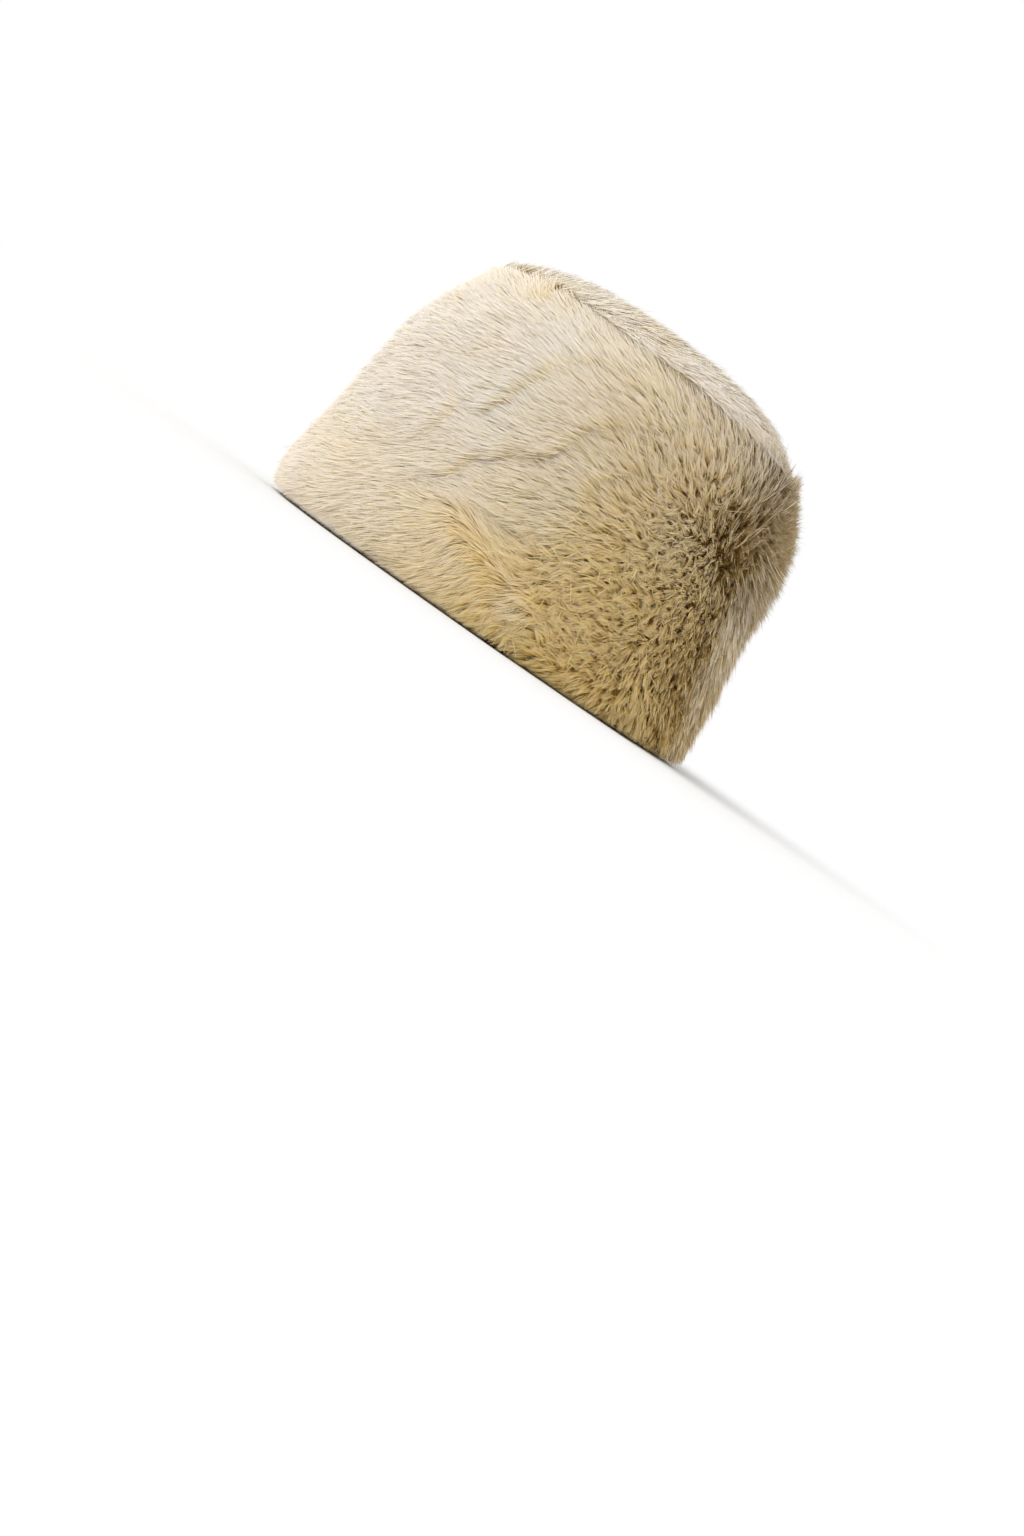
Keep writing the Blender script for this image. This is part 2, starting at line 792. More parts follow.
    def __init__(self, form: HatForm, growth: PileGrowth, seed: int) -> None:
        """Measure the way up the face and set the tufts out.

        Args:
            form: The hat's form.
            growth: Sizes of the pile.
            seed: Seed of everything random on this surface.
        """
        super().__init__(form, growth, seed)
        upper = np.linspace(self.FACE_START, form.seam_height, self.FACE_ROWS)
        self.heights = np.concatenate([np.array(self.RIM_HEIGHTS), upper])
        self.insets = np.concatenate([np.array(self.RIM_INSETS), form.outer_inset(upper)])
        side = form.wall(np.full(len(self.heights), math.pi / 2.0), self.heights, self.insets)
        steps = np.linalg.norm(np.diff(side, axis=0), axis=1)
        self.travel = np.concatenate([[0.0], np.cumsum(steps)])
        self.reach = float(self.travel[-1])
        mean = (form.half_width + form.half_length) / 2.0 - form.pile_depth
        columns = int(math.tau * mean / growth.tuft_spacing)
        rows = int(self.reach / growth.tuft_spacing) + 1
        shift = self.tuft_chance.uniform(*self.TUFT_SHIFT, (2, rows, columns))
        row, column = np.mgrid[0:rows, 0:columns]
        self.tuft_first = row + shift[1]
        self.tuft_second = column + shift[0]

    def place(self, first: np.ndarray, second: np.ndarray) -> np.ndarray:
        """Return the face's points.

        Args:
            first: Angle round the oval.
            second: The way up the face.

        Returns:
            Array of shape (count, 3).
        """
        height = np.interp(second, self.travel, self.heights)
        inset = np.interp(second, self.travel, self.insets)
        return self.form.wall(first, height, inset)

    def tuft_roots(self) -> Roots:
        """Work out the roots of the tufts' middles.

        Returns:
            The roots.
        """
        rows, columns = self.tuft_first.shape
        angle = self.tuft_second.ravel() / columns * math.tau
        return Roots(angle, self.tuft_first.ravel() / rows * self.reach)

    def grid_place(self, roots: Roots) -> tuple[np.ndarray, np.ndarray]:
        """Find the roots' places on the tufts' grid.

        Args:
            roots: The roots.

        Returns:
            Their rows and columns.
        """
        rows, columns = self.tuft_first.shape
        row = np.clip(roots.second / self.reach * rows, 0.0, rows - 1e-6)
        return row, (roots.first / math.tau * columns) % columns

    def roots(self, side: Side) -> Roots:
        """Scatter the roots of one quarter of the band evenly over its area.

        Args:
            side: Which quarter.

        Returns:
            The roots.
        """
        spacing = self.growth.spacing
        quarter = math.pi / 2.0
        angles = []
        ways = []
        for way in np.arange(spacing / 2.0, self.reach, spacing):
            inset = float(np.interp(way, self.travel, self.insets))
            height = float(np.interp(way, self.travel, self.heights))
            size = self.form.wall(np.array([0.0, quarter]), np.array(height), np.array(inset))
            mean = (abs(size[0, 1]) + abs(size[1, 0])) / 2.0
            count = int(mean * quarter / spacing)
            step = np.arange(count) + self.chance.uniform(0.0, 1.0, count)
            angles.append(math.radians(side.value) + step / count * quarter)
            ways.append(way + self.chance.uniform(-0.5, 0.5, count) * spacing)
        return Roots(np.concatenate(angles), np.clip(np.concatenate(ways), 0.0, self.reach))

    def lie(self, roots: Roots) -> Lie:
        """Return how the band's pile lies: round the oval, and down and over the rim.

        Args:
            roots: Where the hairs grow.

        Returns:
            The lie at each root.
        """
        point, normal, along, up = self.axes(roots, self.AXIS_STEPS)
        height = point[:, 2]
        angle = np.degrees(roots.first) % 360.0
        zones = self.zones(point, angle, roots.second)
        brushing = Brushing(len(angle), self.growth, self.START)
        level = height / self.form.seam_height
        brushing.turn += np.interp(level, self.FALL_LEVELS, self.FALL_DEGREES)
        self.brush(brushing, angle, height)
        self.part(brushing, angle, height, zones[BandZone.MIDDLE])
        rear = zones[BandZone.REAR]
        rear_fall = self.REAR_FALL_DEG + self.REAR_FALL_CHANGE_DEG * zones[BandZone.BROAD]
        brushing.turn = brushing.turn * (1.0 - rear) + rear_fall * rear
        for zone, mask in zones.items():
            brushing.add(self.TOUCHES[zone], mask)
        fall = np.radians(brushing.turn)[:, None]
        return brushing.finish(point, normal, unit(along * np.cos(fall) - up * np.sin(fall)))

    def offset(self, angle: np.ndarray, height: np.ndarray,
               middle: BrushMark | Parting) -> tuple[np.ndarray, np.ndarray]:
        """Return the ways round and up from the middle of a mark or a parting, in metres."""
        turn = (angle - middle.round_deg + 180.0) % 360.0 - 180.0
        return np.radians(turn) * self.form.half_width, height - middle.height

    def brush(self, brushing: Brushing, angle: np.ndarray, height: np.ndarray) -> None:
        """Brush the marks in.

        Args:
            brushing: The lie so far, changed in place.
            angle: Angle round the band at each root, in degrees.
            height: Height of each root over the rim.
        """
        for mark in self.MARKS:
            away = np.hypot(*self.offset(angle, height, mark))
            share = np.exp(-0.5 * (away / mark.reach) ** 2)
            brushing.turn += share * mark.turn_deg
            brushing.stand += share * mark.lift_deg
            brushing.grow += share * mark.longer
            brushing.tone += share * mark.brighter

    def part(self, brushing: Brushing, angle: np.ndarray, height: np.ndarray,
             wander: np.ndarray) -> None:
        """Part the pile along the partings.

        Args:
            brushing: The lie so far, changed in place.
            angle: Angle round the band at each root, in degrees.
            height: Height of each root over the rim.
            wander: A noise that makes the lines wander.
        """
        for line in self.PARTINGS:
            side, rise = self.offset(angle, height, line)
            slope = math.radians(line.slope_deg)
            down = side * math.cos(slope) + rise * math.sin(slope)
            out = rise * math.cos(slope) - side * math.sin(slope) + self.PARTING_WANDER * wander
            within = np.exp(-(down / line.length) ** 4)
            share = within * np.exp(-0.5 * (out / line.reach) ** 2)
            brushing.turn -= line.turn_deg * np.tanh(out / self.PARTING_EDGE) * share
            brushing.tone -= line.shade * within * np.exp(-(out / self.PARTING_CORE) ** 2)

    def zones(self, point: np.ndarray, angle: np.ndarray,
              way: np.ndarray) -> dict[BandZone, np.ndarray]:
        """Work out how strongly each zone acts.

        Args:
            point: The surface's points.
            angle: Angle round the band at each of them, in degrees.
            way: Their way up the face.

        Returns:
            A mask for each zone, one value for each point.
        """
        height = point[:, 2]
        level = height / self.form.seam_height
        signed = (angle + 180.0) % 360.0 - 180.0
        middle = self.middle(point)
        edge = np.interp(height, self.REAR_HEIGHTS, self.REAR_DEGREES) + self.REAR_WANDER_DEG * middle
        rear = smooth_step(*self.REAR_ROUND, signed)
        rear = rear * (1.0 - smooth_step(*self.REAR_EDGE_ROUND, signed - edge))
        rear = rear * (1.0 - smooth_step(*self.REAR_HEIGHT, height))
        ends = smooth_step(*self.ENDS_ROUND, signed) * (signed > 0.0) * (1.0 - rear)
        ends = ends * (1.0 - smooth_step(*self.ENDS_HEIGHT, height))
        corner = smooth_step(*self.CORNER_LEVEL, level) * smooth_step(*self.CORNER_ROUND, np.abs(signed))
        turn = angle - self.FRONT_DRIFT_DEG * smooth_step(*self.FRONT_DRIFT_LEVEL, level)
        front = smooth_step(*self.FRONT_LEFT_ROUND, turn)
        front = front * (1.0 - smooth_step(*self.FRONT_RIGHT_ROUND, angle))
        seam = smooth_step(*self.SEAM_LEVEL, level)
        low = 1.0 - smooth_step(*self.LOW_LEVEL, level)
        light = smooth_step(*self.LIGHT_LEVEL, level) - 0.5
        return {
            BandZone.BROAD: self.broad(point),
            BandZone.MIDDLE: middle,
            BandZone.FINE: self.fine(point),
            BandZone.SHADE: self.shade(point),
            BandZone.FRONT: front,
            BandZone.ENDS: ends,
            BandZone.REAR: rear,
            BandZone.CORNER: corner,
            BandZone.WAVES: self.waves(point, signed, middle),
            BandZone.SEAM: seam,
            BandZone.FRONT_SEAM: seam * front,
            BandZone.FRONT_FOOT: front * smooth_step(*self.FRONT_FOOT_LEVEL, level) * (1.0 - low),
            BandZone.LIGHT: light * (1.0 - self.LIGHT_FRONT_LOSS * front),
            BandZone.UNDER: 1.0 - smooth_step(*self.UNDER_LEVEL, level),
            BandZone.LOW: low,
            BandZone.CURL: 1.0 - smooth_step(*self.CURL_LEVEL, level),
            BandZone.ROLL: 1.0 - smooth_step(*self.ROLL_HEIGHT, height),
            BandZone.TURNED_UNDER: 1.0 - smooth_step(0.0, self.TURNED_UNDER, way),
        }

    def waves(self, point: np.ndarray, signed: np.ndarray, noise: np.ndarray) -> np.ndarray:
        """Work out the soft slanting waves of the sides.

        Args:
            point: The surface's points.
            signed: Angle round the band from the rear, in degrees, negative on the right.
            noise: A noise that makes the waves wander.

        Returns:
            A value for each point, from -0.4 in a hollow to 0.6 on a crest.
        """
        slope = math.radians(self.WAVE_SLOPE_DEG)
        way = point[:, 2] * math.cos(slope) - point[:, 1] * math.sin(slope)
        near, far = self.WAVE_WANDER
        phase = way / self.WAVE_LENGTH + near * noise + far * self.broad(point[:, [2, 0, 1]])
        share = phase - np.floor(phase)
        crest = (1.0 - share) * smooth_step(*self.WAVE_RISE, share) - self.WAVE_HOLLOW
        middle_round, width_round = self.WAVE_ROUND
        middle_height, width_height = self.WAVE_HEIGHT
        place = np.exp(-((np.abs(signed) - middle_round) / width_round) ** 2)
        return crest * place * np.exp(-((point[:, 2] - middle_height) / width_height) ** 2)


class CrownZone(Enum):
    """The noises and zones that the lie of the crown's pile is built up from."""

    WAVE = "slow changes all over"
    RIPPLE = "changes over a finger's width"
    FINE = "changes from lock to lock"
    SHADE = "slow changes of tone"
    OVER = "the edge that the pile falls over"
    BROW = "the edge at the front"


class CrownBed(PileBed):
    """The outer face of the crown. Its coordinates are shares of the way out along X and Y.

    A pair of values named for a zone is where the zone's mask begins and where it ends, as shares
    of the way out.
    """

    AXIS_STEPS = (0.004, 0.004)
    INSIDE = 0.995
    OUTER = (0.55, 1.0)
    AHEAD = (0.0, -0.80)
    BROW = (0.72, 1.0)
    OVER = (0.62, 0.98)
    TILTED = (0.60, 1.0)
    LEAN = 0.36
    TILT = 0.8
    TILT_LOSS_AHEAD = 0.5
    LENGTH = 0.84
    SHORTER_OVER = 0.16
    SHORTER_BROW = 0.10
    START = Touch(stand_deg=-8.0, rest_deg=3.0, brighter=1.1, gather=0.16, scatter=1.3)
    TOUCHES = {
        CrownZone.WAVE: Touch(turn_deg=12.0, stand_deg=4.0, longer=0.06),
        CrownZone.RIPPLE: Touch(turn_deg=7.0, stand_deg=7.0, bend=0.25, gather=0.05),
        CrownZone.FINE: Touch(turn_deg=4.0),
        CrownZone.SHADE: Touch(brighter=0.3),
        CrownZone.OVER: Touch(stand_deg=-12.0, rest_deg=-22.0, gather=-0.06),
        CrownZone.BROW: Touch(stand_deg=2.0, rest_deg=6.0),
    }

    def __init__(self, form: HatForm, growth: PileGrowth, seed: int) -> None:
        """Set the tufts out.

        Args:
            form: The hat's form.
            growth: Sizes of the pile.
            seed: Seed of everything random on this surface.
        """
        super().__init__(form, growth, seed)
        edge = self.place(np.array([1.0, 0.0]), np.array([0.0, 1.0]))
        self.size = (float(edge[0, 0]), float(edge[1, 1]))
        counts = tuple(int(2.0 * size / growth.tuft_spacing) + 1 for size in self.size)
        shift = self.tuft_chance.uniform(*self.TUFT_SHIFT, (2,) + counts)
        across, along = np.mgrid[0:counts[0], 0:counts[1]]
        self.tuft_first = across + shift[0]
        self.tuft_second = along + shift[1]

    def place(self, first: np.ndarray, second: np.ndarray) -> np.ndarray:
        """Return points from the shares of the way out."""
        return self.form.crown(first, second, self.form.crown_rise, self.form.cloth)

    def tuft_roots(self) -> Roots:
        """Return the roots of the tufts' middles."""
        across, along = self.tuft_first.shape
        return Roots(self.tuft_first.ravel() / across * 2.0 - 1.0,
                     self.tuft_second.ravel() / along * 2.0 - 1.0)

    def grid_place(self, roots: Roots) -> tuple[np.ndarray, np.ndarray]:
        """Return the roots' places on the tufts' grid, across and along."""
        across, along = self.tuft_first.shape
        return (roots.first + 1.0) / 2.0 * across, (roots.second + 1.0) / 2.0 * along

    def roots(self) -> Roots:
        """Scatter roots evenly over the crown.

        Returns:
            The roots.
        """
        counts = [int(2.0 * size / self.growth.spacing) for size in self.size]
        across, along = np.mgrid[0:counts[0], 0:counts[1]].reshape(2, -1)
        across = (across + self.chance.uniform(0.0, 1.0, across.size)) / counts[0] * 2.0 - 1.0
        along = (along + self.chance.uniform(0.0, 1.0, along.size)) / counts[1] * 2.0 - 1.0
        inside = np.hypot(across, along) < self.INSIDE
        return Roots(across[inside], along[inside])

    def lie(self, roots: Roots) -> Lie:
        """Return how the crown's pile lies: front to rear, spreading towards the seam.

        Args:
            roots: Where the hairs grow.

        Returns:
            The lie at each root.
        """
        point, normal, _, _ = self.axes(roots, self.AXIS_STEPS)
        normal = np.where(normal[:, 2:3] < 0.0, -normal, normal)
        share = np.hypot(roots.first, roots.second)
        noises = {
            CrownZone.WAVE: self.broad(point),
            CrownZone.RIPPLE: self.middle(point),
            CrownZone.FINE: self.fine(point),
            CrownZone.SHADE: self.shade(point),
        }
        brushing = Brushing(len(share), self.growth, self.START)
        for zone, mask in noises.items():
            brushing.add(self.TOUCHES[zone], mask)
        heading = math.pi / 2.0 + np.radians(brushing.turn)
        flat = np.stack([np.cos(heading), np.sin(heading), np.zeros_like(heading)], axis=-1)
        spread = np.stack([roots.first, roots.second, np.zeros_like(share)], axis=-1)
        ahead = smooth_step(*self.AHEAD, roots.second)
        lean = smooth_step(*self.OUTER, share) * self.LEAN * (1.0 - ahead)
        flat = unit(flat + spread * lean[:, None])
        nap = unit(flat - normal * np.sum(flat * normal, axis=1)[:, None])
        over = np.sum(nap * unit(spread), axis=1) * smooth_step(*self.OVER, share)
        over = np.clip(over, 0.0, 1.0)
        brow = smooth_step(*self.BROW, share) * ahead
        brushing.add(self.TOUCHES[CrownZone.OVER], over)
        brushing.add(self.TOUCHES[CrownZone.BROW], brow)
        brushing.grow *= self.LENGTH - self.SHORTER_OVER * over - self.SHORTER_BROW * brow
        tilt = smooth_step(*self.TILTED, share) * (self.TILT - self.TILT_LOSS_AHEAD * ahead)
        normal = unit(normal + spread * tilt[:, None])
        return brushing.finish(point, normal, nap)


@dataclass(frozen=True)
class PileFinish:
    """Finish of the hairs: warm at the root and pale at the tip.

    Attributes:
        name: Name of the material.
        root: Colour at the root.
        middle: Colour halfway.
        tip: Colour at the tip.
        stops: Where along a hair those three colours lie.
        shaded: Tint of the hairs of the lowest tone.
        bright: Tint of the hairs of the highest tone.
        paler_tip: How much further the tips are tinted towards bright.
        patch_scale: Scale of the faint patches, in marks a metre.
        patch_dark: Tint at their low end.
        patch_light: Tint at their high end.
        roughness: Roughness between the tones.
        gloss: Change of roughness at the lowest and the highest tone.
        sheen: Weight of the sheen.
        sheen_roughness: Roughness of the sheen.
        sheen_tint: Colour of the sheen.
        tuft_contrast: How much darker the darkest tuft is, as a share.
        tuft_gain: How much of that contrast the brightest tuft gains.
    """

    name: str = "pile_hair"
    root: tuple[float, float, float] = (0.87, 0.66, 0.33)
    middle: tuple[float, float, float] = (0.84, 0.73, 0.51)
    tip: tuple[float, float, float] = (0.925, 0.865, 0.765)
    stops: tuple[float, float, float] = (0.05, 0.50, 0.92)
    shaded: tuple[float, float, float] = (1.02, 0.82, 0.28)
    bright: tuple[float, float, float] = (0.998, 1.04, 1.16)
    paler_tip: float = 0.28
    patch_scale: float = 26.0
    patch_dark: tuple[float, float, float] = (0.99, 0.985, 0.955)
    patch_light: tuple[float, float, float] = (1.0, 0.98, 0.98)
    roughness: float = 0.70
    gloss: tuple[float, float] = (-0.08, 0.10)
    sheen: float = 0.10
    sheen_roughness: float = 0.45
    sheen_tint: tuple[float, float, float] = (1.0, 0.95, 0.88)
    tuft_contrast: float = 0.05
    tuft_gain: float = 0.5


@dataclass(frozen=True)
class BackingFinish:
    """Finish of the dense short underfur on the backing."""

    name: str = "pile_underfur"
    dark: tuple[float, float, float] = (0.64, 0.50, 0.29)
    light: tuple[float, float, float] = (0.80, 0.68, 0.47)
    roughness: float = 0.9
    streak_scale: float = 900.0
    streak_stretch: tuple[float, float, float] = (0.30, 0.30, 1.0)
    bump: tuple[float, float] = (0.0008, 0.8)


@dataclass(frozen=True)
class ClothFinish:
    """Finish of a plain woven cloth."""

    name: str
    dark: tuple[float, float, float]
    light: tuple[float, float, float]
    thread: float = 0.0007
    roughness: float = 0.88
    threads_a_wave: float = 6.0
    unevenness: float = 0.6
    detail: float = 1.0
    patch_scale: float = 120.0
    shade: tuple[float, float] = (0.72, 1.06)
    bump: tuple[float, float] = (0.0003, 0.6)


@dataclass(frozen=True)
class ThreadFinish:
    """Finish of the sewing thread."""

    name: str = "dark_thread"
    dark: tuple[float, float, float] = (0.035, 0.022, 0.016)
    light: tuple[float, float, float] = (0.095, 0.065, 0.050)
    roughness: float = 0.6
    twist_scale: float = 2400.0
    bump: tuple[float, float] = (0.0002, 0.5)


def group_socket(group: bpy.types.NodeTree, name: str, output: bool, kind: str) -> None:
    """Add one named socket to a node group."""
    group.interface.new_socket(name=name, in_out="OUTPUT" if output else "INPUT", socket_type=kind)


def mottle_group() -> bpy.types.NodeTree:
    """Build the group that mottles two colours with soft noise over a piece.

    Returns:
        The group, with Scale, Stretch, Dark and Light in, and Colour and Height out.
    """
    group = bpy.data.node_groups.new("mottle", "ShaderNodeTree")
    group_socket(group, "Scale", False, "NodeSocketFloat")
    group_socket(group, "Stretch", False, "NodeSocketVector")
    group_socket(group, "Dark", False, "NodeSocketColor")
    group_socket(group, "Light", False, "NodeSocketColor")
    group_socket(group, "Colour", True, "NodeSocketColor")
    group_socket(group, "Height", True, "NodeSocketFloat")
    nodes = group.nodes
    links = group.links
    entry = nodes.new("NodeGroupInput")
    leave = nodes.new("NodeGroupOutput")
    place = nodes.new("ShaderNodeTexCoord")
    stretch = nodes.new("ShaderNodeVectorMath")
    stretch.operation = "MULTIPLY"
    noise = nodes.new("ShaderNodeTexNoise")
    noise.inputs["Detail"].default_value = MOTTLE_DETAIL
    spread = nodes.new("ShaderNodeMapRange")
    spread.inputs["From Min"].default_value = MOTTLE_SPREAD[0]
    spread.inputs["From Max"].default_value = MOTTLE_SPREAD[1]
    mix = nodes.new("ShaderNodeMix")
    mix.data_type = "RGBA"
    links.new(place.outputs["Object"], stretch.inputs[0])
    links.new(entry.outputs["Stretch"], stretch.inputs[1])
    links.new(stretch.outputs["Vector"], noise.inputs["Vector"])
    links.new(entry.outputs["Scale"], noise.inputs["Scale"])
    links.new(noise.outputs["Fac"], spread.inputs["Value"])
    links.new(spread.outputs["Result"], mix.inputs["Factor"])
    links.new(entry.outputs["Dark"], mix.inputs["A"])
    links.new(entry.outputs["Light"], mix.inputs["B"])
    links.new(mix.outputs["Result"], leave.inputs["Colour"])
    links.new(spread.outputs["Result"], leave.inputs["Height"])
    return group


class Dresser:
    """Makes the materials, sharing one mottle group."""

    SPECULAR = 0.25

    def __init__(self) -> None:
        """Build the shared group."""
        self.mottle = mottle_group()

    def start(self, name: str, roughness: float) -> tuple[bpy.types.Material, bpy.types.Node]:
        """Start a material.

        Args:
            name: Its name.
            roughness: Its roughness.

        Returns:
            The new material and its shader.
        """
        material = bpy.data.materials.new(name)
        material.use_nodes = True
        shader = material.node_tree.nodes["Principled BSDF"]
        shader.inputs["Roughness"].default_value = roughness
        shader.inputs["Specular IOR Level"].default_value = self.SPECULAR
        return material, shader

    def add_mottle(self, tree: bpy.types.NodeTree, scale: float, stretch: tuple[float, float, float],
                   dark: tuple[float, ...], light: tuple[float, ...]) -> bpy.types.Node:
        """Place the mottle group with its values.

        Args:
            tree: The material's nodes.
            scale: Scale of the noise, in marks a metre.
            stretch: Factors on the coordinates.
            dark: Colour at the low end.
            light: Colour at the high end.

        Returns:
            The group's node.
        """
        node = tree.nodes.new("ShaderNodeGroup")
        node.node_tree = self.mottle
        node.inputs["Scale"].default_value = scale
        node.inputs["Stretch"].default_value = stretch
        node.inputs["Dark"].default_value = (*dark, 1.0)
        node.inputs["Light"].default_value = (*light, 1.0)
        return node

    def add_bump(self, tree: bpy.types.NodeTree, shader: bpy.types.Node, height: bpy.types.NodeSocket,
                 distance: float, strength: float) -> None:
        """Feed a height to the shader's normal through a bump.

        Args:
            tree: The material's nodes.
            shader: The material's shader.
            height: The height, from 0 to 1.
            distance: How deep the bump is.
            strength: How strongly it shows.
        """
        bump = tree.nodes.new("ShaderNodeBump")
        bump.inputs["Distance"].default_value = distance
        bump.inputs["Strength"].default_value = strength
        tree.links.new(height, bump.inputs["Height"])
        tree.links.new(bump.outputs["Normal"], shader.inputs["Normal"])

    def multiply(self, tree: bpy.types.NodeTree, colour: bpy.types.NodeSocket,
                 tint: bpy.types.NodeSocket) -> bpy.types.NodeSocket:
        """Multiply a colour by a tint.

        Args:
            tree: The material's nodes.
            colour: The colour.
            tint: The tint.

        Returns:
            The tinted colour.
        """
        mix = tree.nodes.new("ShaderNodeMix")
        mix.data_type = "RGBA"
        mix.blend_type = "MULTIPLY"
        mix.inputs["Factor"].default_value = 1.0
        tree.links.new(colour, mix.inputs["A"])
        tree.links.new(tint, mix.inputs["B"])
        return mix.outputs["Result"]

    def scale(self, tree: bpy.types.NodeTree, colour: bpy.types.NodeSocket,
              factor: bpy.types.NodeSocket) -> bpy.types.NodeSocket:
        """Scale a colour by a factor.

        Args:
            tree: The material's nodes.
            colour: The colour.
            factor: The factor.

        Returns:
            The scaled colour.
        """
        toned = tree.nodes.new("ShaderNodeVectorMath")
        toned.operation = "SCALE"
        tree.links.new(colour, toned.inputs["Vector"])
        tree.links.new(factor, toned.inputs["Scale"])
        return toned.outputs["Vector"]

    def along_hair(self, tree: bpy.types.NodeTree, along: bpy.types.NodeSocket,
                   finish: PileFinish) -> bpy.types.NodeSocket:
        """Colour a hair from its root to its tip.

        Args:
            tree: The material's nodes.
            along: Place along the hair, from 0 at the root to 1 at the tip.
            finish: The pile's finish.

        Returns:
            The colour.
        """
        ramp = tree.nodes.new("ShaderNodeValToRGB")
        stops = ramp.color_ramp.elements
        stops[0].position = finish.stops[0]
        stops[0].color = (*finish.root, 1.0)
        stops[1].position = finish.stops[2]
        stops[1].color = (*finish.tip, 1.0)
        halfway = stops.new(finish.stops[1])
        halfway.color = (*finish.middle, 1.0)
        tree.links.new(along, ramp.inputs["Fac"])
        return ramp.outputs["Color"]

    def by_tone(self, tree: bpy.types.NodeTree, along: bpy.types.NodeSocket,
                tone: bpy.types.NodeSocket, finish: PileFinish) -> bpy.types.NodeSocket:
        """Work out a hair's tint from its tone, paler towards its tip.

        Args:
            tree: The material's nodes.
            along: Place along the hair, from 0 to 1.
            tone: The hair's tone, from 0 to 1.
            finish: The pile's finish.

        Returns:
            The tint.
        """
        hue = tree.nodes.new("ShaderNodeMix")
        hue.data_type = "RGBA"
        hue.inputs["A"].default_value = (*finish.shaded, 1.0)
        hue.inputs["B"].default_value = (*finish.bright, 1.0)
        paler = tree.nodes.new("ShaderNodeMath")
        paler.operation = "MULTIPLY_ADD"
        paler.inputs[1].default_value = finish.paler_tip
        tree.links.new(along, paler.inputs[0])
        tree.links.new(tone, paler.inputs[2])
        tree.links.new(paler.outputs["Value"], hue.inputs["Factor"])
        return hue.outputs["Result"]

    def pile(self, finish: PileFinish) -> bpy.types.Material:
        """Make the hairs' material from the attribute that each hair carries.

        Args:
            finish: Colours and gloss.

        Returns:
            The material.
        """
        material, shader = self.start(finish.name, finish.roughness)
        shader.inputs["Sheen Weight"].default_value = finish.sheen
        shader.inputs["Sheen Roughness"].default_value = finish.sheen_roughness
        shader.inputs["Sheen Tint"].default_value = (*finish.sheen_tint, 1.0)
        tree = material.node_tree
        given = tree.nodes.new("ShaderNodeAttribute")
        given.attribute_name = PileMesh.ATTRIBUTE
        parts = tree.nodes.new("ShaderNodeSeparateColor")
        tree.links.new(given.outputs["Color"], parts.inputs["Color"])
        along = parts.outputs["Red"]
        tone = parts.outputs["Green"]
        patch = self.add_mottle(tree, finish.patch_scale, EVEN, finish.patch_dark, finish.patch_light)
        colour = self.multiply(tree, self.along_hair(tree, along, finish), patch.outputs["Colour"])
        colour = self.multiply(tree, colour, self.by_tone(tree, along, tone, finish))
        contrast = finish.tuft_contrast
        tuft = self.level(tree, parts.outputs["Blue"], 1.0 - contrast, 1.0 + contrast * finish.tuft_gain)
        tree.links.new(self.scale(tree, colour, tuft), shader.inputs["Base Color"])
        low, high = finish.gloss
        gloss = self.level(tree, tone, finish.roughness + low, finish.roughness + high)
        tree.links.new(gloss, shader.inputs["Roughness"])
        return material

    def level(self, tree: bpy.types.NodeTree, value: bpy.types.NodeSocket, low: float,
              high: float) -> bpy.types.NodeSocket:
        """Map a value from 0 to 1 onto a range.

        Args:
            tree: The material's nodes.
            value: The value.
            low: What 0 becomes.
            high: What 1 becomes.

        Returns:
            The mapped value.
        """
        spread = tree.nodes.new("ShaderNodeMapRange")
        spread.inputs["To Min"].default_value = low
        spread.inputs["To Max"].default_value = high
        tree.links.new(value, spread.inputs["Value"])
        return spread.outputs["Result"]

    def backing(self, finish: BackingFinish) -> bpy.types.Material:
        """Make the underfur's material: short streaks along the nap.

        Args:
            finish: Colours, streaks and gloss.

        Returns:
            The material.
        """
        material, shader = self.start(finish.name, finish.roughness)
        tree = material.node_tree
        streak = self.add_mottle(tree, finish.streak_scale, finish.streak_stretch, finish.dark,
                                 finish.light)
        tree.links.new(streak.outputs["Colour"], shader.inputs["Base Color"])
        self.add_bump(tree, shader, streak.outputs["Height"], *finish.bump)
        return material

    def cloth(self, finish: ClothFinish) -> bpy.types.Material:
        """Make a plain weave from crossed threads on the piece's own map.

        Args:
            finish: Colours, thread and gloss.

        Returns:
            The material.
        """
        material, shader = self.start(finish.name, finish.roughness)
        tree = material.node_tree
        nodes = tree.nodes
        links = tree.links
        given = nodes.new("ShaderNodeUVMap")
        given.uv_map = ClothMesh.MAP
        waves = []
        for axis in ("X", "Y"):
            wave = nodes.new("ShaderNodeTexWave")
            wave.wave_type = "BANDS"
            wave.bands_direction = axis
            wave.inputs["Scale"].default_value = 1.0 / (finish.thread * finish.threads_a_wave)
            wave.inputs["Distortion"].default_value = finish.unevenness
            wave.inputs["Detail"].default_value = finish.detail
            links.new(given.outputs["UV"], wave.inputs["Vector"])
            waves.append(wave)
        weave = nodes.new("ShaderNodeMath")
        weave.operation = "MAXIMUM"
        links.new(waves[0].outputs["Fac"], weave.inputs[0])
        links.new(waves[1].outputs["Fac"], weave.inputs[1])
        mottle = self.add_mottle(tree, finish.patch_scale, EVEN, finish.dark, finish.light)
        shade = self.level(tree, weave.outputs["Value"], *finish.shade)
        links.new(self.scale(tree, mottle.outputs["Colour"], shade), shader.inputs["Base Color"])
        self.add_bump(tree, shader, weave.outputs["Value"], *finish.bump)
        return material

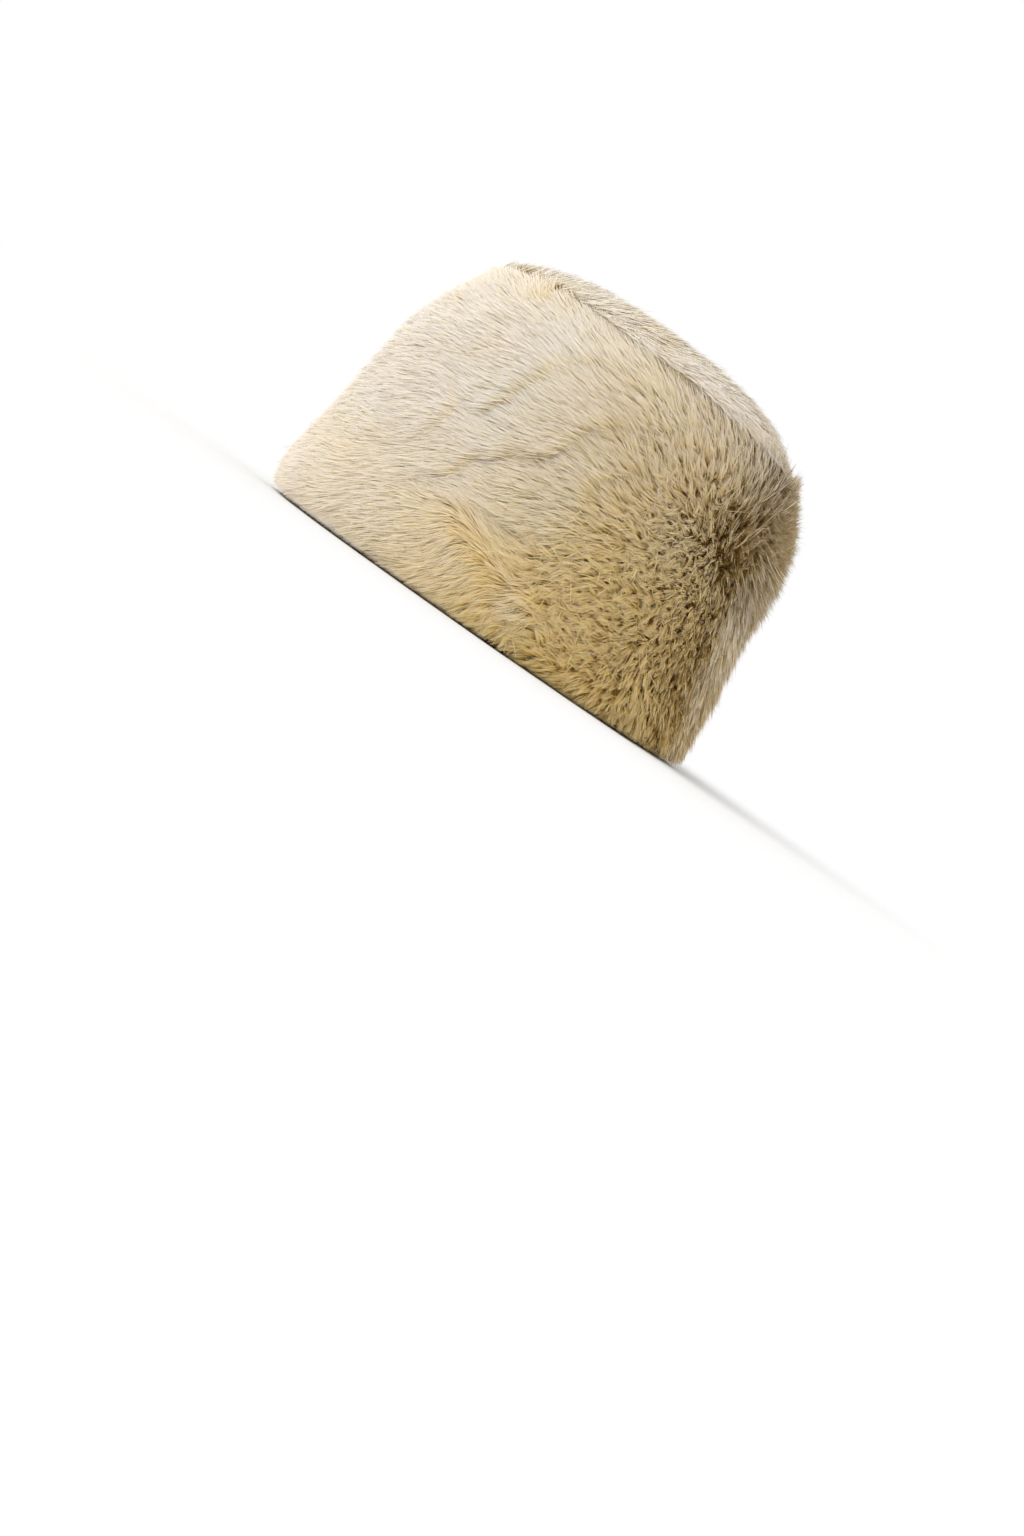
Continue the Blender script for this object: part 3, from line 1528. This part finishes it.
    def thread(self, finish: ThreadFinish) -> bpy.types.Material:
        """Make the sewing thread's material: a twisted dark yarn.

        Args:
            finish: Colours, twist and gloss.

        Returns:
            The material.
        """
        material, shader = self.start(finish.name, finish.roughness)
        tree = material.node_tree
        twist = self.add_mottle(tree, finish.twist_scale, EVEN, finish.dark, finish.light)
        tree.links.new(twist.outputs["Colour"], shader.inputs["Base Color"])
        self.add_bump(tree, shader, twist.outputs["Height"], *finish.bump)
        return material


class PileMesh:
    """Turns traced hairs into one joined mesh of tapered ribbons."""

    ATTRIBUTE = "pile"
    ROLL_DEG = 32.0
    ROLL_LIMIT = 1.1
    WIDTH_SPREAD = (0.75, 1.25)
    OWN_SHARE = 0.25

    def __init__(self, growth: PileGrowth, seed: int) -> None:
        """Keep the pile's sizes.

        Args:
            growth: Sizes of the pile.
            seed: Seed of the ribbons' widths and turns.
        """
        self.growth = growth
        self.chance = np.random.default_rng(seed)

    def build(self, name: str, paths: np.ndarray, normals: np.ndarray, tone: np.ndarray,
              tuft: np.ndarray, material: bpy.types.Material) -> bpy.types.Object:
        """Build one piece of pile.

        Args:
            name: Name of the piece.
            paths: Hairs, of shape (count, knots, 3).
            normals: Outward normal at each root.
            tone: Tone of each hair, from 0 to 1.
            tuft: Tone of each hair's tuft, from 0 to 1.
            material: Finish of the hairs.

        Returns:
            The new object.
        """
        count, knots, _ = paths.shape
        ways = unit(np.gradient(paths, axis=1))
        across = unit(np.cross(ways, normals[:, None, :]))
        roll = self.chance.normal(0.0, math.radians(self.ROLL_DEG), count)
        roll = np.clip(roll, -self.ROLL_LIMIT, self.ROLL_LIMIT)
        upright = np.cross(across, ways)
        across = across * np.cos(roll)[:, None, None] + upright * np.sin(roll)[:, None, None]
        width = self.growth.width * self.chance.uniform(*self.WIDTH_SPREAD, count)
        taper = np.array(self.growth.taper)
        half = 0.5 * width[:, None, None] * taper[None, :, None]
        left = paths[:, :-1] - across[:, :-1] * half
        right = paths[:, :-1] + across[:, :-1] * half
        pairs = np.stack([left, right], axis=2).reshape(count, -1, 3)
        corners = np.concatenate([pairs, paths[:, -1:]], axis=1)
        corners[:, :, 2] = np.maximum(corners[:, :, 2], self.growth.floor_gap)
        each = corners.shape[1]
        quads = np.array([[2 * k, 2 * k + 1, 2 * k + 3, 2 * k + 2] for k in range(knots - 2)])
        last = 2 * (knots - 2)
        point = np.array([last, last + 1, last + 2])
        loops = np.concatenate([quads.ravel(), point])
        sizes = np.array([4] * len(quads) + [3])
        base = np.arange(count) * each
        mesh = bpy.data.meshes.new(name)
        mesh.vertices.add(count * each)
        mesh.vertices.foreach_set("co", corners.astype(np.float32).ravel())
        mesh.loops.add(count * len(loops))
        mesh.loops.foreach_set("vertex_index", (base[:, None] + loops[None, :]).astype(np.int32).ravel())
        mesh.polygons.add(count * len(sizes))
        starts = np.concatenate([[0], np.cumsum(sizes)[:-1]])
        loop_base = np.arange(count) * len(loops)
        first = (loop_base[:, None] + starts[None, :]).astype(np.int32)
        mesh.polygons.foreach_set("loop_start", first.ravel())
        mesh.update(calc_edges=True)
        mesh.polygons.foreach_set("use_smooth", np.ones(count * len(sizes), dtype=bool))
        along = np.repeat(np.array(self.growth.knots[:-1]), 2)
        along = np.concatenate([along, [1.0]])
        colour = np.ones((count, each, 4), dtype=np.float32)
        colour[:, :, 0] = along[None, :]
        colour[:, :, 1] = tone[:, None]
        colour[:, :, 2] = tuft[:, None]
        given = mesh.attributes.new(self.ATTRIBUTE, "FLOAT_COLOR", "POINT")
        given.data.foreach_set("color", colour.ravel())
        self.set_normals(mesh, ways, across, normals, count, each)
        mesh.materials.append(material)
        return link_piece(name, mesh)

    def set_normals(self, mesh: bpy.types.Mesh, ways: np.ndarray, across: np.ndarray,
                    normals: np.ndarray, count: int, each: int) -> None:
        """Give each hair soft normals, part its own and part those of the form beneath it.

        Args:
            mesh: The pile's mesh.
            ways: Unit way along each hair at each knot.
            across: Unit way across each ribbon at each knot.
            normals: Outward normal at each root.
            count: Number of hairs.
            each: Number of points in a hair's ribbon.
        """
        own = unit(np.cross(across, ways))
        own = np.where(np.sum(own * normals[:, None, :], axis=2, keepdims=True) < 0.0, -own, own)
        soft = unit(self.OWN_SHARE * own + (1.0 - self.OWN_SHARE) * normals[:, None, :])
        soft = np.concatenate([np.repeat(soft[:, :-1], 2, axis=1), soft[:, -1:]], axis=1)
        mesh.normals_split_custom_set_from_vertices(soft.reshape(count * each, 3).tolist())


class ClothMesh:
    """Bmesh helpers for the closed shells of cloth and backing."""

    MAP = "cloth_map"

    @staticmethod
    def ring(mesh_data: bmesh.types.BMesh, points: np.ndarray) -> list[bmesh.types.BMEdge]:
        """Start a closed ring of edges through points."""
        verts = [mesh_data.verts.new(point) for point in points.tolist()]
        return [mesh_data.edges.new((verts[index - 1], vert)) for index, vert in enumerate(verts)]

    @staticmethod
    def grow(mesh_data: bmesh.types.BMesh, edges: list[bmesh.types.BMEdge],
             points: np.ndarray) -> list[bmesh.types.BMEdge]:
        """Extrude a ring of edges to the next ring of points.

        Args:
            mesh_data: The mesh.
            edges: The ring so far.
            points: Where its points go, in the ring's order.

        Returns:
            The new ring's edges, in the same order.
        """
        order = ClothMesh.walk(edges)
        grown = bmesh.ops.extrude_edge_only(mesh_data, edges=edges)["geom"]
        fresh = {part for part in grown if isinstance(part, bmesh.types.BMVert)}
        moved = []
        for vert, point in zip(order, points.tolist()):
            above = next(edge.other_vert(vert) for edge in vert.link_edges
                         if edge.other_vert(vert) in fresh)
            above.co = point
            moved.append(above)
        return [mesh_data.edges.get((moved[index - 1], vert)) for index, vert in enumerate(moved)]

    @staticmethod
    def walk(edges: list[bmesh.types.BMEdge]) -> list[bmesh.types.BMVert]:
        """Walk round a ring.

        Args:
            edges: Its edges, in order.

        Returns:
            The point that each edge ends at.
        """
        order = []
        for index, edge in enumerate(edges):
            after = edges[(index + 1) % len(edges)]
            order.append(next(vert for vert in edge.verts if vert in after.verts))
        return order

    @staticmethod
    def finish(name: str, mesh_data: bmesh.types.BMesh,
               materials: list[bpy.types.Material]) -> bpy.types.Object:
        """Close the bmesh into a smooth object with its materials.

        Args:
            name: Name of the piece.
            mesh_data: The mesh, freed here.
            materials: Its materials, in the order of their numbers.

        Returns:
            The new object.
        """
        bmesh.ops.recalc_face_normals(mesh_data, faces=mesh_data.faces)
        for face in mesh_data.faces:
            face.smooth = True
        mesh = bpy.data.meshes.new(name)
        mesh_data.to_mesh(mesh)
        mesh_data.free()
        for material in materials:
            mesh.materials.append(material)
        return link_piece(name, mesh)


def link_piece(name: str, mesh: bpy.types.Mesh) -> bpy.types.Object:
    """Link a mesh to the scene as an object at the origin.

    Args:
        name: Name of the piece.
        mesh: Its mesh.

    Returns:
        The new object.
    """
    piece = bpy.data.objects.new(name, mesh)
    bpy.context.scene.collection.objects.link(piece)
    return piece


def fasten(piece: bpy.types.Object, slot: Slot, *nodes: str) -> None:
    """Ride a piece on the hat, name its slot, and hide the solids that it stands for.

    Args:
        piece: The piece.
        slot: Its material slot.
        nodes: The solids' nodes.
    """
    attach(piece, BODY)
    if nodes:
        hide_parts(*nodes)
    LOG.info("%s: %d faces", piece.name, len(piece.data.polygons))


def map_round(mesh_data: bmesh.types.BMesh, radius: float) -> None:
    """Give a ring-shaped shell a map in metres: the way round, and the height.

    Args:
        mesh_data: The shell.
        radius: Mean radius of the oval.
    """
    layer = mesh_data.loops.layers.uv.new(ClothMesh.MAP)
    for face in mesh_data.faces:
        middle = math.atan2(face.calc_center_median().x, face.calc_center_median().y)
        for loop in face.loops:
            angle = math.atan2(loop.vert.co.x, loop.vert.co.y)
            angle = middle + (angle - middle + math.pi) % math.tau - math.pi
            loop[layer].uv = (angle * radius, loop.vert.co.z)


@dataclass
class BandBody:
    """The band under its pile: a closed wall of fur cloth with a plain cloth inside."""

    form: HatForm
    segments: int = 144
    rows: int = 26
    fur_sink: float = 0.0006
    foot: float = 0.0003
    outer_start: float = 0.005
    inner_end: float = 0.004
    inner_foot_in: float = 0.0006
    cloth_below_seam: float = 0.001

    def rings(self) -> list[tuple[np.ndarray, bool]]:
        """Set out the wall's rings, from the rim up the outside and down the inside.

        Returns:
            Each ring's points, and whether it is on the outside.
        """
        angles = np.linspace(0.0, math.tau, self.segments, endpoint=False)
        form = self.form
        foot = np.array(self.foot)
        rings = [(form.wall(angles, foot, np.array(form.pile_depth + form.rim_roll)), True)]
        for height in np.linspace(self.outer_start, form.seam_height, self.rows):
            inset = form.outer_inset(height) + self.fur_sink
            rings.append((form.wall(angles, height, inset), True))
        for height in np.linspace(form.seam_height, self.inner_end, self.rows):
            rings.append((form.wall(angles, height, form.inner_inset(height)), False))
        inset = form.wall_thickness + self.inner_foot_in
        rings.append((form.wall(angles, foot, np.array(inset)), False))
        return rings

    def build(self, fur: bpy.types.Material, cloth: bpy.types.Material) -> bpy.types.Object:
        """Build the wall.

        Args:
            fur: Finish of its outside.
            cloth: Finish of its inside.

        Returns:
            The new object.
        """
        mesh_data = bmesh.new()
        rings = self.rings()
        edges = ClothMesh.ring(mesh_data, rings[0][0])
        first = edges
        for points, _ in rings[1:]:
            edges = ClothMesh.grow(mesh_data, edges, points)
        bmesh.ops.bridge_loops(mesh_data, edges=first + edges)
        radius = (self.form.half_width + self.form.half_length) / 2.0
        map_round(mesh_data, radius)
        bmesh.ops.recalc_face_normals(mesh_data, faces=mesh_data.faces)
        for face in mesh_data.faces:
            middle = face.calc_center_median()
            inward = Vector((middle.x, middle.y, 0.0)).dot(face.normal) < 0.0
            below_seam = middle.z < self.form.seam_height - self.cloth_below_seam
            face.material_index = 1 if inward and below_seam else 0
        return ClothMesh.finish("band_wall", mesh_data, [fur, cloth])


@dataclass
class CrownBody:
    """The crown under its pile: a closed domed panel with a plain cloth underside."""

    form: HatForm
    segments: int = 144
    rings: int = 16
    fur_sink: float = 0.0006
    first_turn: float = 0.06
    underside: float = -0.3

    def circle(self, share: float, rise: float, lift: float) -> np.ndarray:
        """Return a ring of points at a share of the way out, on a dome over its lifted edge."""
        angles = np.linspace(0.0, math.tau, self.segments, endpoint=False)
        return self.form.crown(np.sin(angles) * share, np.cos(angles) * share, rise, lift)

    def build(self, fur: bpy.types.Material, cloth: bpy.types.Material) -> bpy.types.Object:
        """Build the panel.

        Args:
            fur: Finish of its top.
            cloth: Finish of its underside.

        Returns:
            The new object.
        """
        form = self.form
        mesh_data = bmesh.new()
        shares = np.sin(np.linspace(self.first_turn, math.pi / 2.0, self.rings))
        edges = ClothMesh.ring(mesh_data, self.circle(shares[0], form.ceiling_rise, 0.0))
        bmesh.ops.contextual_create(mesh_data, geom=edges)
        for share in shares[1:]:
            edges = ClothMesh.grow(mesh_data, edges, self.circle(share, form.ceiling_rise, 0.0))
        for share in shares[::-1]:
            lift = form.cloth - self.fur_sink
            edges = ClothMesh.grow(mesh_data, edges, self.circle(share, form.crown_rise, lift))
        bmesh.ops.contextual_create(mesh_data, geom=edges)
        bmesh.ops.recalc_face_normals(mesh_data, faces=mesh_data.faces)
        layer = mesh_data.loops.layers.uv.new(ClothMesh.MAP)
        for face in mesh_data.faces:
            face.material_index = 1 if face.normal.z < self.underside else 0
            for loop in face.loops:
                loop[layer].uv = (loop.vert.co.x, loop.vert.co.y)
        return ClothMesh.finish("crown_panel", mesh_data, [fur, cloth])


@dataclass
class RimBand:
    """The thin band inside the rim, with its overlocked lower edge."""

    form: HatForm
    bottom: float
    top: float
    segments: int = 144
    rows: int = 8
    fold: float = 0.0010
    fold_in: float = 0.0004
    bulge: float = 0.0005
    bulge_drop: float = 0.003
    bulge_reach: float = 0.002

    def build(self, cloth: bpy.types.Material) -> bpy.types.Object:
        """Build the band with a soft turned edge at its top.

        Args:
            cloth: Its finish.

        Returns:
            The new object.
        """
        form = self.form
        angles = np.linspace(0.0, math.tau, self.segments, endpoint=False)
        heights = np.linspace(self.bottom, self.top, self.rows)
        mesh_data = bmesh.new()
        outside = [form.wall(angles, height, form.inner_inset(height) + form.gap) for height in heights]
        inside = []
        for height in heights[::-1]:
            edge = math.exp(-((self.top - height) / self.fold) ** 2)
            below = (self.top - self.bulge_drop - height) / self.bulge_reach
            bulge = self.bulge * math.exp(-below ** 2)
            inset = form.inner_inset(height) + form.gap + form.cloth + bulge - self.fold_in * edge
            inside.append(form.wall(angles, height, inset))
        edges = ClothMesh.ring(mesh_data, outside[0])
        first = edges
        for points in outside[1:] + inside:
            edges = ClothMesh.grow(mesh_data, edges, points)
        bmesh.ops.bridge_loops(mesh_data, edges=first + edges)
        map_round(mesh_data, (form.half_width + form.half_length) / 2.0)
        return ClothMesh.finish("rim_band", mesh_data, [cloth])


@dataclass
class Overlock:
    """A run of overlock stitches: slanted loops of thread over a cloth edge."""

    pitch: float = 0.0016
    radius: float = 0.00022
    sides: int = 5
    points: int = 10
    slant: float = 0.45
    ahead: float = 0.002

    def build(self, name: str, centres: np.ndarray, ways: np.ndarray, outs: np.ndarray,
              size: tuple[float, float], material: bpy.types.Material) -> bpy.types.Object:
        """Build one loop at each centre, joined in one mesh.

        Args:
            name: Name of the piece.
            centres: Middle of each loop on the cloth's edge, of shape (count, 3).
            ways: Unit way along the edge at each loop.
            outs: Unit way across the cloth's thickness at each loop.
            size: Half of each loop's thickness and half of its height.
            material: Finish of the thread.

        Returns:
            The new object.
        """
        points = self.points
        turn = np.linspace(0.0, math.tau, points, endpoint=False)
        up = unit(np.cross(ways, outs))
        slant = self.slant * self.pitch * np.sin(turn)
        spine = (centres[:, None, :]
                 + outs[:, None, :] * (size[0] * np.cos(turn))[None, :, None]
                 + up[:, None, :] * (size[1] * np.sin(turn))[None, :, None]
                 + ways[:, None, :] * slant[None, :, None])
        along = unit(np.roll(spine, -1, axis=1) - np.roll(spine, 1, axis=1))
        out = unit(spine - centres[:, None, :])
        out = unit(out - along * np.sum(out * along, axis=2, keepdims=True))
        side = np.cross(along, out)
        around = np.linspace(0.0, math.tau, self.sides, endpoint=False)
        tube = (spine[:, :, None, :]
                + self.radius * (out[:, :, None, :] * np.cos(around)[None, None, :, None]
                                 + side[:, :, None, :] * np.sin(around)[None, None, :, None]))
        count = len(centres)
        each = points * self.sides
        index = np.arange(each).reshape(points, self.sides)
        after = np.roll(index, -1, axis=0)
        quads = np.stack([index, after, np.roll(after, -1, axis=1), np.roll(index, -1, axis=1)], axis=-1)
        faces = (np.arange(count)[:, None, None] * each + quads.reshape(1, -1, 4)).reshape(-1, 4)
        mesh = bpy.data.meshes.new(name)
        mesh.from_pydata(tube.reshape(-1, 3).tolist(), [], faces.tolist())
        mesh.polygons.foreach_set("use_smooth", np.ones(len(faces), dtype=bool))
        mesh.materials.append(material)
        return link_piece(name, mesh)

    def run(self, name: str, form: HatForm, span: tuple[float, float], height: float, inset: float,
            size: tuple[float, float], material: bpy.types.Material) -> bpy.types.Object:
        """Sew along the oval between two angles, at a height and an inset.

        Args:
            name: Name of the piece.
            form: The hat's form.
            span: First and last angle.
            height: Height of the edge.
            inset: Distance in from the outer size.
            size: Half of each loop's thickness and half of its height.
            material: Finish of the thread.

        Returns:
            The new object.
        """
        mean = (form.half_width + form.half_length) / 2.0 - inset
        count = max(2, int(abs(span[1] - span[0]) * mean / self.pitch))
        angles = np.linspace(span[0], span[1], count, endpoint=False)
        centres = form.wall(angles, np.full(count, height), np.full(count, inset))
        ahead = form.wall(angles + self.ahead, np.full(count, height), np.full(count, inset))
        ways = unit(ahead - centres)
        outs = unit(np.cross(np.array([0.0, 0.0, 1.0]), ways))
        return self.build(name, centres, ways, outs, size, material)


@dataclass
class Studio:
    """Floor, lights, backdrop and camera."""

    floor_radius: float = 8.0
    floor_colour: tuple[float, float, float] = (0.84, 0.84, 0.84)
    seen_sky: float = 1.0
    sky: float = 0.84
    sun_way: tuple[float, float, float] = (0.38, -0.57, 0.73)
    sun_power: float = 1.60
    sun_width_deg: float = 50.0
    camera_place: tuple[float, float, float] = (0.7213, 0.0463, 0.020)
    camera_aim: tuple[float, float, float] = (0.0, 0.0539, -0.0451)
    camera_roll_deg: float = 35.0
    camera_lens: float = 35.16
    camera_sensor: float = 36.0
    camera_near: float = 0.02
    floor_segments: int = 96

    def floor(self) -> bpy.types.Object:
        """Build the pale floor.

        Returns:
            The floor.
        """
        mesh_data = bmesh.new()
        bmesh.ops.create_circle(mesh_data, cap_ends=True, segments=self.floor_segments,
                                radius=self.floor_radius)
        mesh = bpy.data.meshes.new("floor")
        mesh_data.to_mesh(mesh)
        mesh_data.free()
        material = bpy.data.materials.new("floor_paper")
        material.use_nodes = True
        shader = material.node_tree.nodes["Principled BSDF"]
        shader.inputs["Base Color"].default_value = (*self.floor_colour, 1.0)
        shader.inputs["Roughness"].default_value = 1.0
        shader.inputs["Specular IOR Level"].default_value = 0.0
        mesh.materials.append(material)
        return link_piece("floor", mesh)

    def backdrop(self) -> None:
        """Set a plain pale surround that lights the hat softly."""
        world = bpy.data.worlds.new("studio")
        world.use_nodes = True
        tree = world.node_tree
        nodes = tree.nodes
        shown = nodes["Background"]
        shown.inputs["Color"].default_value = (1.0, 1.0, 1.0, 1.0)
        shown.inputs["Strength"].default_value = self.seen_sky
        soft = nodes.new("ShaderNodeBackground")
        soft.inputs["Color"].default_value = (1.0, 1.0, 1.0, 1.0)
        soft.inputs["Strength"].default_value = self.sky
        rays = nodes.new("ShaderNodeLightPath")
        pick = nodes.new("ShaderNodeMixShader")
        tree.links.new(rays.outputs["Is Camera Ray"], pick.inputs["Fac"])
        tree.links.new(soft.outputs["Background"], pick.inputs[1])
        tree.links.new(shown.outputs["Background"], pick.inputs[2])
        tree.links.new(pick.outputs["Shader"], nodes["World Output"].inputs["Surface"])
        bpy.context.scene.world = world

    def light(self) -> None:
        """Shine one wide soft light from above the hat's front."""
        lamp = bpy.data.lights.new("key", "SUN")
        lamp.energy = self.sun_power
        lamp.angle = math.radians(self.sun_width_deg)
        item = bpy.data.objects.new("key", lamp)
        item.rotation_euler = (-Vector(self.sun_way)).to_track_quat("-Z", "Y").to_euler()
        bpy.context.scene.collection.objects.link(item)

    def camera(self) -> None:
        """Place the camera level with the rim, rolled as the hat leans in the photograph."""
        place = Vector(self.camera_place)
        ahead = (Vector(self.camera_aim) - place).normalized()
        right = ahead.cross(Vector((0.0, 0.0, 1.0))).normalized()
        above = right.cross(ahead)
        roll = math.radians(self.camera_roll_deg)
        turned_right = right * math.cos(roll) + above * math.sin(roll)
        turned_up = above * math.cos(roll) - right * math.sin(roll)
        axes = Matrix((turned_right, turned_up, -ahead)).transposed()
        data = bpy.data.cameras.new("camera")
        data.lens = self.camera_lens
        data.sensor_width = self.camera_sensor
        data.clip_start = self.camera_near
        item = bpy.data.objects.new("camera", data)
        item.matrix_world = Matrix.Translation(place) @ axes.to_4x4()
        bpy.context.scene.collection.objects.link(item)
        bpy.context.scene.camera = item

    def build(self) -> None:
        """Build the whole studio."""
        self.floor()
        self.backdrop()
        self.light()
        self.camera()
        bpy.context.scene.view_settings.view_transform = "Standard"


@dataclass
class Hat:
    """The dressed hat."""

    LINING = ClothFinish("plain_lining", (0.50, 0.41, 0.29), (0.60, 0.50, 0.37))
    RIBBON = ClothFinish("rim_ribbon", (0.40, 0.31, 0.20), (0.50, 0.40, 0.27), 0.0005)
    EDGE_LIFT = 0.0009
    EDGE_LOOP = (0.0011, 0.0022)
    LOOSE_SPAN_DEG = (78.0, 85.0)
    LOOSE_HEIGHT = 0.0014
    LOOSE_INSET = 0.0078
    LOOSE_LOOP = (0.0024, 0.0010)
    BAND_SEED = 11
    BAND_TUFT_SEED = 77
    BAND_RIBBON_SEED = 40
    CROWN_SEED = 23
    CROWN_RIBBON_SEED = 50

    form: HatForm
    growth: PileGrowth
    dresser: Dresser

    def build_bodies(self) -> None:
        """Build the wall, the crown panel, the rim band and the overlock stitches."""
        fur = self.dresser.backing(BackingFinish())
        lining = self.dresser.cloth(self.LINING)
        ribbon = self.dresser.cloth(self.RIBBON)
        thread = self.dresser.thread(ThreadFinish())
        fasten(BandBody(self.form).build(fur, lining), Slot.PILE, "side_band")
        fasten(CrownBody(self.form).build(fur, lining), Slot.PILE, "crown_top")
        low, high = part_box("inner_band")
        band = RimBand(self.form, float(low[2]), float(high[2]))
        fasten(band.build(ribbon), Slot.CLOTH, "inner_band")
        sewing = Overlock()
        inset = self.form.wall_thickness + self.form.gap + self.form.cloth / 2.0
        edge = sewing.run("rim_overlock", self.form, (0.0, math.tau), float(low[2]) + self.EDGE_LIFT,
                          inset, self.EDGE_LOOP, thread)
        fasten(edge, Slot.CLOTH)
        first, last = self.LOOSE_SPAN_DEG
        span = (math.radians(first), math.radians(last))
        ends = sewing.run("loose_overlock", self.form, span, self.LOOSE_HEIGHT, self.LOOSE_INSET,
                          self.LOOSE_LOOP, thread)
        fasten(ends, Slot.CLOTH)

    def build_pile(self) -> None:
        """Grow the pile of the four quarters of the band and of the crown."""
        finish = self.dresser.pile(PileFinish())
        band = BandBed(self.form, self.growth, self.BAND_SEED)
        for number, side in enumerate(Side):
            hairs = band.hairs(band.roots(side), np.random.default_rng(self.BAND_TUFT_SEED))
            mesh = PileMesh(self.growth, self.BAND_RIBBON_SEED + number)
            fasten(mesh.build(f"band_pile_{side.name.lower()}", *hairs, finish), Slot.PILE)
        crown = CrownBed(self.form, self.growth, self.CROWN_SEED)
        hairs = crown.hairs(crown.roots(), crown.tuft_chance)
        mesh = PileMesh(self.growth, self.CROWN_RIBBON_SEED)
        fasten(mesh.build("crown_pile", *hairs, finish), Slot.PILE)


def main() -> None:
    """Dress the hat and set the studio."""
    logging.basicConfig(level=logging.INFO, format="%(name)s: %(message)s")
    low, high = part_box("side_band")
    form = HatForm((high[0] - low[0]) / 2.0, (high[1] - low[1]) / 2.0)
    Studio().build()
    hat = Hat(form, PileGrowth(), Dresser())
    hat.build_bodies()
    hat.build_pile()


if __name__ == "__main__":
    main()
